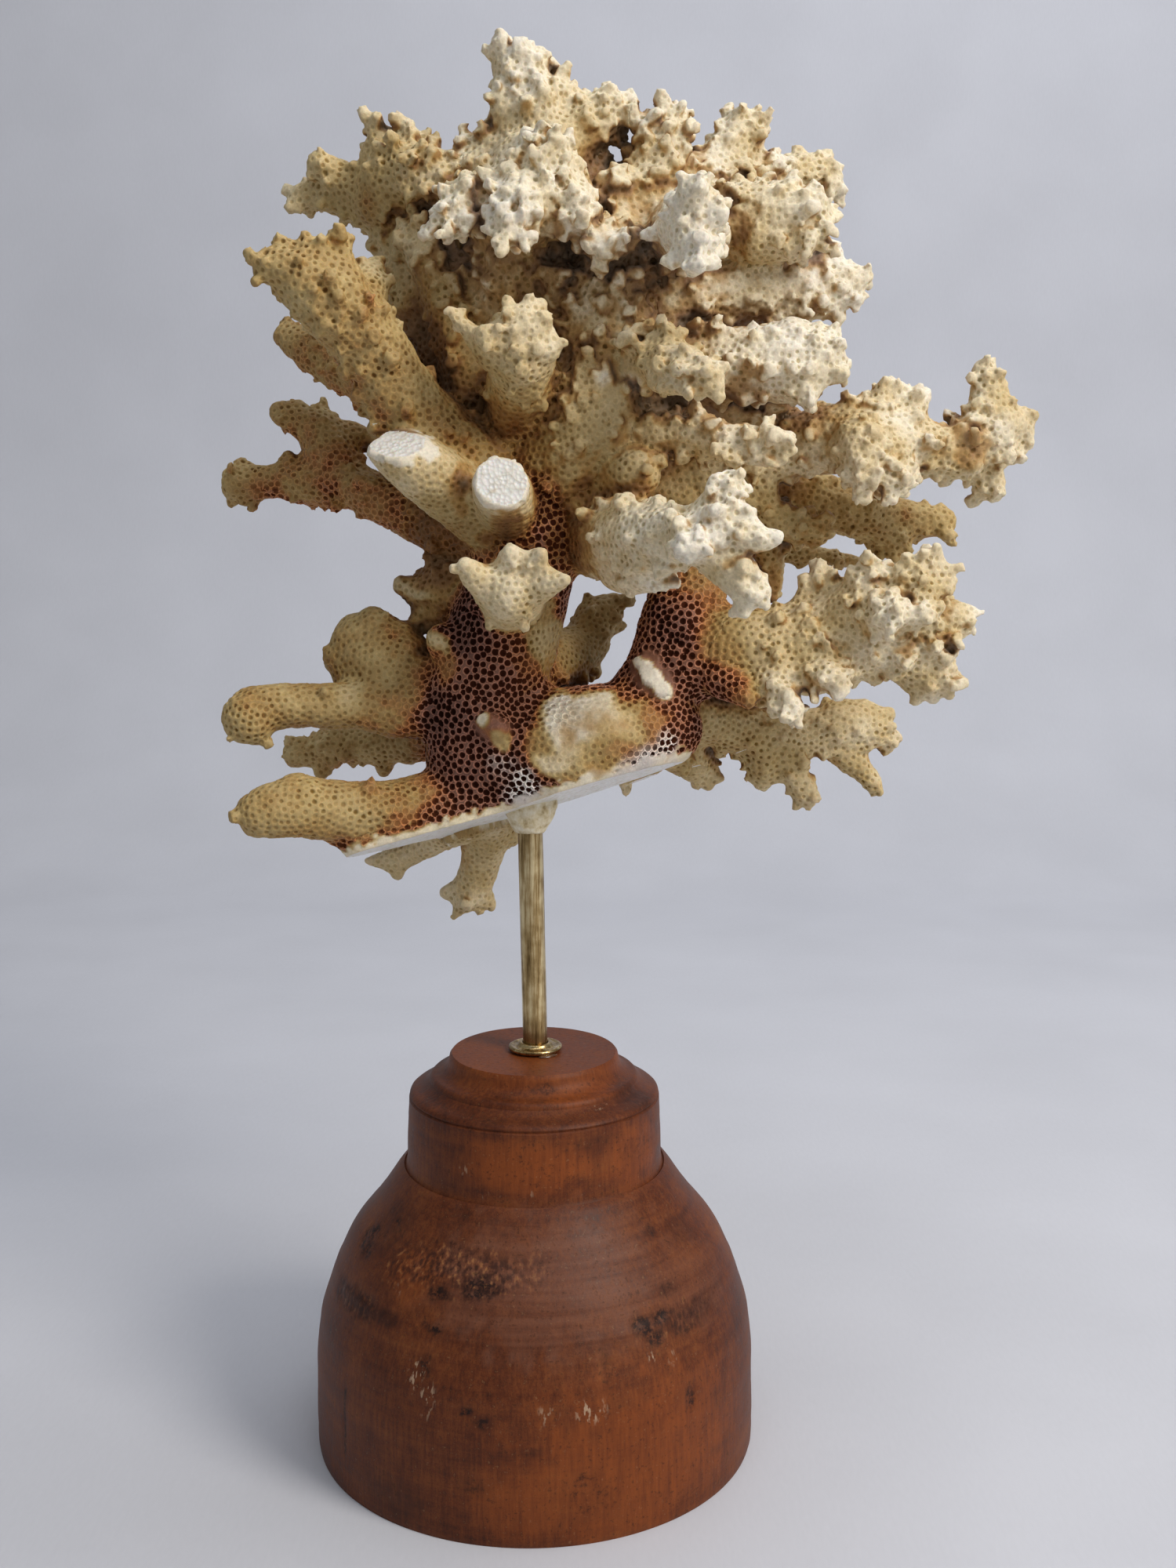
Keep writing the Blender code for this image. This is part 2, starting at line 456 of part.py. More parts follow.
def keep_largest_body(mesh):
    """Drops the offcuts that a saw cut leaves beside the main body."""
    shape = bmesh.new()
    shape.from_mesh(mesh)
    unseen = set(shape.verts)
    bodies = []
    while unseen:
        front = [unseen.pop()]
        body = list(front)
        while front:
            vert = front.pop()
            near = [edge.other_vert(vert) for edge in vert.link_edges]
            fresh = [other for other in near if other in unseen]
            unseen.difference_update(fresh)
            front += fresh
            body += fresh
        bodies.append(body)
    bodies.sort(key=len)
    for body in bodies[:-1]:
        bmesh.ops.delete(shape, geom=body, context="VERTS")
    shape.to_mesh(mesh)
    shape.free()


def place_on_sight_line(point):
    """The real place and radius, in metres, of a point that is seen from EYE on y = 0."""
    x, y, z, radius = point
    depth = 1 + y / -EYE.y
    seen = Vector((x, 0, z))
    place = EYE + (seen - EYE) * depth
    return place * MM, radius * depth * MM


def smooth_route(route):
    """Places and radii along a smooth curve through the route's points."""
    placed = [place_on_sight_line(point) for point in route]
    samples = []
    for i in range(len(placed) - 1):
        p0, r0 = placed[max(i - 1, 0)]
        p1, r1 = placed[i]
        p2, r2 = placed[i + 1]
        p3, r3 = placed[min(i + 2, len(placed) - 1)]
        for step in range(ROUTE_STEPS):
            t = step / ROUTE_STEPS
            pull = (p2 - p0) * 0.5
            push = (p3 - p1) * 0.5
            a = 2 * t**3 - 3 * t**2 + 1
            b = t**3 - 2 * t**2 + t
            c = 3 * t**2 - 2 * t**3
            d = t**3 - t**2
            samples.append((p1 * a + pull * b + p2 * c + push * d, r1 + (r2 - r1) * t))
    samples.append(placed[-1])
    return samples


def tube_mesh(samples):
    """A round tube through the samples, with a ball on each end, as loose closed shells."""
    curve = bpy.data.curves.new("route", "CURVE")
    curve.dimensions = "3D"
    curve.bevel_depth = 1.0
    curve.bevel_resolution = TUBE_BEVEL
    curve.use_fill_caps = True
    spline = curve.splines.new("POLY")
    spline.points.add(len(samples) - 1)
    for point, (place, radius) in zip(spline.points, samples):
        point.co = (*place, 1)
        point.radius = radius
    obj = mesh_object("route", curve, bpy.context.scene.collection)
    graph = bpy.context.evaluated_depsgraph_get()
    mesh = bpy.data.meshes.new_from_object(obj.evaluated_get(graph))
    bpy.data.objects.remove(obj)
    shape = bmesh.new()
    shape.from_mesh(mesh)
    bmesh.ops.remove_doubles(shape, verts=shape.verts, dist=WELD)
    for place, radius in (samples[0], samples[-1]):
        made = bmesh.ops.create_icosphere(shape, subdivisions=2, radius=radius)
        bmesh.ops.translate(shape, verts=made["verts"], vec=place)
    bmesh.ops.recalc_face_normals(shape, faces=shape.faces)
    shape.to_mesh(mesh)
    shape.free()
    return mesh


def limb_object(name, routes, collection):
    """One limb: its routes' tubes melted together into a single faceted body."""
    shape = bmesh.new()
    for route in routes:
        shape.from_mesh(tube_mesh(smooth_route(route)))
    mesh = bpy.data.meshes.new(name)
    shape.to_mesh(mesh)
    shape.free()
    obj = mesh_object(name, mesh, collection)
    melt = obj.modifiers.new("Melt", "REMESH")
    melt.mode = "VOXEL"
    melt.voxel_size = VOXEL
    soften = obj.modifiers.new("Soften", "SMOOTH")
    soften.factor = SMOOTHING
    soften.iterations = SMOOTH_ROUNDS
    bake_modifiers(obj)
    area = sum(face.area for face in obj.data.polygons) / MM**2
    wanted = FACETS_PER_LIMB + FACETS_PER_ROUTE * len(routes) + FACETS_PER_MM2 * area
    facet = obj.modifiers.new("Facet", "DECIMATE")
    facet.ratio = wanted / (2 * len(obj.data.polygons))
    facet.use_collapse_triangulate = True
    bake_modifiers(obj)
    return obj


def box_of(obj):
    corners = [obj.matrix_world @ Vector(corner) for corner in obj.bound_box]
    low = [min(corner[i] for corner in corners) for i in range(3)]
    high = [max(corner[i] for corner in corners) for i in range(3)]
    return low, high


def boxes_meet(a, b):
    (low_a, high_a), (low_b, high_b) = box_of(a), box_of(b)
    return all(low_a[i] < high_b[i] and low_b[i] < high_a[i] for i in range(3))


def wooden_base(parts):
    rings = [REST_EDGE, *FOOT_BAND, *DOME_CURVE, NECK_FOOT, NECK_BOTTOM, NECK_TOP, *STEP_ARC,
             STEP_EDGE, *COVE_ARC, TOP_EDGE]
    profile = [(0, TOP_EDGE[1]), *reversed(rings), (0, 0)]
    obj = screw_object("wood_base", profile, BASE_SEGMENTS, parts)
    obj.data.materials.append(material("turned hardwood", WOOD, WOOD_ROUGHNESS))
    return obj


def rod_place(height):
    return Vector((ROD_SIDE + ROD_LEAN * (height - BASE_HEIGHT), 0, height))


def rod_object(name, radius, bottom, top, collection):
    """A straight leaning cylinder between two heights."""
    low, high = rod_place(bottom), rod_place(top)
    axis = high - low
    shape = bmesh.new()
    bmesh.ops.create_cone(shape, cap_ends=True, segments=ROD_SIDES, radius1=radius,
                          radius2=radius, depth=axis.length)
    mesh = bpy.data.meshes.new(name)
    shape.to_mesh(mesh)
    shape.free()
    obj = mesh_object(name, mesh, collection)
    obj.location = (low + high) / 2
    obj.rotation_euler = axis.to_track_quat("Z", "Y").to_euler()
    return obj


def brass_rod(parts):
    obj = rod_object("brass_rod", ROD_RADIUS, ROD_BOTTOM, ROD_TOP, parts)
    obj.data.materials.append(material("tarnished brass", BRASS, BRASS_ROUGHNESS, 1.0))
    return obj


def brass_collar(parts):
    top = BASE_HEIGHT / MM
    profile = [(COLLAR_BORE, top + COLLAR_PROFILE[0][1])]
    profile += [(radius, top + height) for radius, height in COLLAR_PROFILE]
    profile.append((COLLAR_BORE, top + COLLAR_PROFILE[-1][1]))
    obj = screw_object("brass_collar", profile, ROD_SIDES, parts)
    obj.location.x = rod_place(BASE_HEIGHT).x
    obj.data.materials.append(material("pressed brass", BRASS, BRASS_ROUGHNESS, 1.0))
    return obj


def rod_filler(parts):
    top, bottom = FILLER_PROFILE[0][1], FILLER_PROFILE[-1][1]
    profile = [(FILLER_BORE, top), *FILLER_PROFILE, (FILLER_BORE, bottom)]
    obj = screw_object("rod_filler", profile, ROD_SIDES, parts)
    obj.location.x = rod_place(FILLER_PROFILE[1][1] * MM).x
    obj.data.materials.append(material("cream filler", FILLER, FILLER_ROUGHNESS))
    return obj


def saw_block(place, facing, collection):
    """A block with one face on the saw cut, filling the side that the cut faces."""
    shape = bmesh.new()
    bmesh.ops.create_cube(shape, size=SAW_BLOCK)
    mesh = bpy.data.meshes.new("saw_block")
    shape.to_mesh(mesh)
    shape.free()
    obj = mesh_object("saw_block", mesh, collection)
    away = Vector(facing).normalized()
    obj.location = Vector(place) * MM + away * SAW_BLOCK / 2
    obj.rotation_euler = away.to_track_quat("Z", "Y").to_euler()
    obj.hide_render = True
    obj.display_type = "WIRE"
    return obj


def coral(parts, cutters, clearances):
    """Every limb of the colony, each cut where an earlier one or the holder carries it."""
    for name, (colour, routes) in LIMBS.items():
        limb = limb_object(name, routes, parts)
        for sawn, place, facing in SAW_CUTS:
            if sawn == name:
                cut(limb, saw_block(place, facing, cutters))
        bake_modifiers(limb)
        own_clearance = grown_copy(limb, GAP, cutters)
        bpy.context.view_layer.update()
        for clearance in clearances:
            if boxes_meet(limb, clearance):
                cut(limb, clearance)
        bake_modifiers(limb)
        keep_largest_body(limb.data)
        limb.data.materials.append(material(name.replace("_", " "), colour, CORAL_ROUGHNESS))
        limb.data.shade_flat()
        clearances.append(own_clearance)


def main():
    clear_scene()
    parts = new_collection("Branching coral")
    cutters = new_collection("Cutters")
    base = wooden_base(parts)
    brass_rod(parts)
    brass_collar(parts)
    filler = rod_filler(parts)
    bore = rod_object("rod_bore", ROD_RADIUS + GAP, ROD_BOTTOM - GAP, ROD_TOP + GAP, cutters)
    bore.hide_render = True
    bore.display_type = "WIRE"
    cut(base, bore)
    bpy.context.view_layer.update()
    bake_modifiers(filler)
    coral(parts, cutters, [bore, grown_copy(filler, GAP, cutters)])


main()
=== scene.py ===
"""Finish of a branching coral that stands on a brass rod and a turned wooden base.

Every length in the lists is in millimetres, which MM turns into metres. +Z is up, +X is to
the right, +Y points to the back, and the origin is the centre of the base's underside.
"""

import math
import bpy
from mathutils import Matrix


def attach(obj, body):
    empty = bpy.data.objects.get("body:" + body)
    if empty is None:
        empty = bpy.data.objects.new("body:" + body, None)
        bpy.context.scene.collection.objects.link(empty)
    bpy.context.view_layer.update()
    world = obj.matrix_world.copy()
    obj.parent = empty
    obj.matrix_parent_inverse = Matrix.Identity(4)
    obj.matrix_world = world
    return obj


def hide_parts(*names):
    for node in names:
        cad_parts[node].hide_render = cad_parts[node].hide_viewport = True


bl_info = {
    "name": "Branching Coral on a Turned Base",
    "version": (1, 0, 0),
    "blender": (4, 5, 0),
    "location": "3D View > Sidebar > Coral",
    "description": "Pored coral limbs, worn turned wood, tarnished brass and cream filler",
    "category": "Object",
}

from functools import partial

import bmesh
import bpy
import numpy as np
from bpy.props import FloatProperty, FloatVectorProperty, IntProperty, PointerProperty
from mathutils import Vector

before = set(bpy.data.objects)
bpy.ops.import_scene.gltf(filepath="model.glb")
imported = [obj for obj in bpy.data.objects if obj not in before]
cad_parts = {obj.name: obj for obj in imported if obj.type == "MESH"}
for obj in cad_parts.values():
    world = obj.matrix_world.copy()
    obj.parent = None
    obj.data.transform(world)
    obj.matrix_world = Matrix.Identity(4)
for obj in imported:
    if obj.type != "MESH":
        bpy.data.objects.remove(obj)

MM = 0.001

# The limbs are laid out in front view: a route's x, z and radius are as EYE sees them on the
# plane y = 0, and the point's depth y then moves it along that line of sight.
EYE = Vector((11, -330.7, 183.2))
ROUTE_STEPS = 5

# Flat saw cuts: the limbs that are cut, a point on the cut, the way the cut faces, and how
# far from the point it reaches
SAW_CUTS = [
    (("left_stem", "low_left_finger"), (0, 0, 130.9), (0.279, -0.233, -0.931), 48),
    (("sawn_branches",), (-26, -19, 201), (-0.05, -0.6, 0.8), 11),
    (("sawn_branches",), (-5, -25.5, 194), (0.08, -0.97, 0.22), 9),
]
SAW_BLOCK = 120 * MM
SAW_SPARE = 0.6 * MM
# How far the walls between two pieces of coral run in before their fans begin
RIM_DEPTH = 1.2 * MM
TUBE_SIDES = 24
PORE_ROUNDS = 3
SHELTER_RAYS = 12
SHELTER_REACH = 22 * MM
# The rays fan out evenly about the surface's normal, and a little less than sideways
GOLDEN_ANGLE = 2.39996
RAY_SPREAD = 0.96

# Which limbs make one piece
CORAL_PIECES = {
    "coral_left_stem": ["left_stem"],
    "coral_right_stem": ["right_stem", "tan_stub", "white_branch"],
    "coral_crown": ["crown", "centre_front"],
    "coral_right_crown": ["right_crown", "front_column"],
    "coral_left_arms": ["low_left_finger", "left_arm", "left_low_arm", "left_cluster",
                        "front_ledge"],
    "coral_left_fingers": ["long_left_finger", "upper_left_finger", "small_left_finger",
                           "sawn_branches"],
    "coral_top_left": ["top_left_branch"],
    "coral_right_arms": ["right_upper_arm", "right_lower_arm", "front_shelf", "knobby_arm"],
    "coral_far_right": ["far_right_arm", "right_back_arm", "tan_branch"],
    "coral_right_fan": ["right_fan", "low_right_branch", "low_back_branch"],
    "coral_hanging": ["hanging_branch", "left_hanging_branch", "mid_back_branch"],
    "coral_back_crown": ["back_crown", "back_right_branch", "back_upper_right"],
    "coral_back_middle": ["back_left_branch", "back_middle_branch"],
    "coral_back_low": ["back_low_branch", "back_foot_branch", "back_fan"],
}
STRAY_FACES = 400

# Marks on the coral, placed as the routes are: x, y, z, radius, value, strength. A tone runs
# from 0 for white to 1 for maroon; tones above 1 are painted shade on the stems, and some tone
# marks paint shade, such as the right crown's inner shadow. Dirt marks are brown dirt and
# painted shade in sheltered places, worn places have lost their pores, bleached places have
# white walls, pits are holes painted darker than the walls call for, as painted shade, and
# raised places stand out by their value in millimetres. A small stain reaches further in depth.
SMALL_STAIN = 8
STAINS = {
    "tone": [
        (2, 2, 205, 34, 0.58, 0.55), (-8, 0, 192, 16, 0.70, 0.75), (0, 0, 180, 12, 0.76, 0.7),
        (1, -8, 203, 8, 0.64, 0.8), (1, -8, 194, 9, 0.82, 0.85), (3, -8, 185, 9, 0.92, 0.85),
        (-32, 12, 247, 8, 0.44, 0.8), (-9, 0, 150, 26, 1.0, 0.5), (-10, -6, 150, 16, 0.94, 0.9),
        # (-12, -8, 168) and (-17, -4, 150) paint shade on the trunk's upper left under the ledge and on
        # its left side
        (-12, -8, 168, 9, 1.12, 0.9), (-17, -4, 150, 7, 1.15, 0.8), (-1, -9, 152, 8, 0.86, 0.6),
        (-17, -6, 160, 7, 0.64, 0.9), (1, -8, 160, 9, 0.68, 0.9), (4, -7, 164, 6, 0.38, 1.0),
        (5, -7, 158, 5, 0.44, 0.95), (2, -7, 171, 6, 0.52, 0.9), (5, -8, 180, 6, 0.70, 0.8),
        (12, -12, 145, 16, 0.62, 1.0), (8, -12, 148, 9.5, 0.04, 1.4), (14, -12, 149, 6, 0.12, 1.2),
        (5, -12, 141, 6, 0.24, 1.1), (1, -11, 145, 4, 0.62, 0.8), (10, -12, 138, 5, 0.42, 0.9),
        (15, -12, 138.5, 4, 0.56, 0.9), (19, -12, 147, 6, 0.36, 0.9), (24, -10, 147, 6, 0.66, 1.0),
        (26, -8, 153, 5, 0.80, 0.8), (-26, -8, 130, 8, 0.70, 0.9), (-18, -9, 130, 6, 0.84, 0.8),
        (-36, -12, 130, 6, 0.42, 0.6), (-6.4, -12, 145.3, 3.2, 0.46, 1.2),
        (-9, -12, 148.2, 2.0, 0.12, 1.4), (-18, -7, 165, 4.0, 0.28, 0.9),
        (20.8, -7, 160.0, 1.7, 0.0, 4.0), (22.3, -7, 158.3, 2.1, 0.0, 4.0),
        (24.1, -7, 156.4, 2.4, 0.0, 4.0), (25.9, -7, 154.4, 2.2, 0.0, 4.0), (26, -6, 168, 9, 1.1, 0.85),
        (37, -7, 164, 7, 0.62, 0.8), (34, -6, 154, 8, 0.78, 0.8), (46, -8, 163, 7, 0.36, 0.8),
        # (18, 0, 232) paints the right crown's inner shadow
        (18, 0, 232, 14, 0.52, 0.6), (-14, 8, 216, 13, 0.60, 0.7), (-8, 2, 226, 8, 0.56, 0.6),
        (12, -8, 205, 11, 0.40, 0.7), (14, -12, 214.5, 3.4, 0.02, 1.0), (20, -13, 213, 3.4, 0.02, 1.0),
        (14, -14, 239, 4, 0.04, 1.0), (24, -20, 186, 9, 0.24, 0.8), (14, -14, 184, 6, 0.30, 0.7),
    ],
    "dirt_and_shade": [
        (-18, 5, 186, 13, 0.8, 0.8), (-21, 6, 218, 13, 0.75, 0.9), (-4.5, -6, 231, 12, 0.45, 0.6),
        (49, -5, 232, 12, 0.0, 0.8), (0, -12, 252, 18, -0.1, 0.6), (36, -2, 231, 14, -0.1, 0.5),
        (78, -5, 215, 16, -0.1, 0.6), (12, -12, 145, 15, 0.16, 1.0), (84, 0, 202, 7.9, 0.45, 0.8),
        (-13, 3, 198.5, 7.9, 0.5, 0.8), (-20.6, 5, 217.7, 7.9, 0.9, 0.8), (-11, 0, 118, 7.9, 0.12, 0.8),
        (12, -12, 139.5, 5, 0.35, 0.8), (-8, 0, 185, 14, 0.9, 0.7), (-20, 6, 180, 12, 0.75, 0.8),
        (58, 0, 190, 8, 0.4, 0.7),
    ],
    "worn": [
        (12, -12, 146, 10, 0.5, 1.0), (6, -13, 150, 4.2, 0.1, 1.0), (22, -9, 140, 6, 0.0, 1.0),
        (-8, -13, 147, 4, 0.8, 1.5), (22, -7, 158.5, 4.0, 1.0, 3.0), (25, -7, 155.4, 4.0, 1.0, 3.0),
        (17, -12, 213.5, 6, 1.0, 1.0), (14, -14, 239, 4, 0.9, 1.0), (14, -8, 205, 12, 0.5, 0.9),
        (42, -40, 176, 8, 0.9, 0.9), (24, -20, 186, 10, 0.3, 0.8),
    ],
    "pits": [(11, -12, 145, 14, 0.1, 2.0), (6, -13, 150, 4.6, 0.55, 1.5), (22, -9, 140, 8, 0.35, 1.0)],
    "bleach": [
        (18.5, -9, 137.8, 4.2, 0.8, 1.0), (22.5, -9, 140, 4.5, 1.0, 1.0),
        (26.5, -8, 142.5, 4.2, 0.8, 1.0), (-1.5, -10, 135.5, 5, 1.0, 1.0), (-6, -10, 140, 5, 0.4, 1.0),
    ],
    "raise": [
        (-9, -12, 148, 2.6, 0.6, 1.0), (21.4, -7, 159.3, 2.2, 1.0, 2.0),
        (23.4, -7, 157.2, 2.5, 1.2, 2.0), (25.3, -7, 155.0, 2.5, 1.0, 2.0),
    ],
}

# The walls between pores and the holes themselves, from tone 0 to tone 1.2. The holes are painted
# darker than the walls as painted shade, and the tones above 1 are painted shade on the stems.
WALL_COLOURS = [(0.0, "f4edde"), (0.14, "ecdfc2"), (0.3, "d9c498"), (0.45, "bfa671"), (0.58, "ac8b53"),
                (0.7, "ad7142"), (0.84, "a36f57"), (1.0, "855a4a"), (1.2, "613e34")]
SHADED_PIT_COLOURS = [(0.0, "bcab7c"), (0.14, "a08a54"), (0.3, "8f7440"), (0.45, "7f6232"), (0.58, "674322"),
               (0.7, "542c1a"), (0.84, "402015"), (1.0, "301812"), (1.2, "1c0f0a")]
BLEACHED = "ded4ca"
DIRT_AND_SHADE = 2.4
DIRT_AND_SHADE_COLOURS = [(0.0, "d0b276"), (0.3, "b58c4c"), (0.6, "8a5a2a"), (1.0, "4f2e13")]

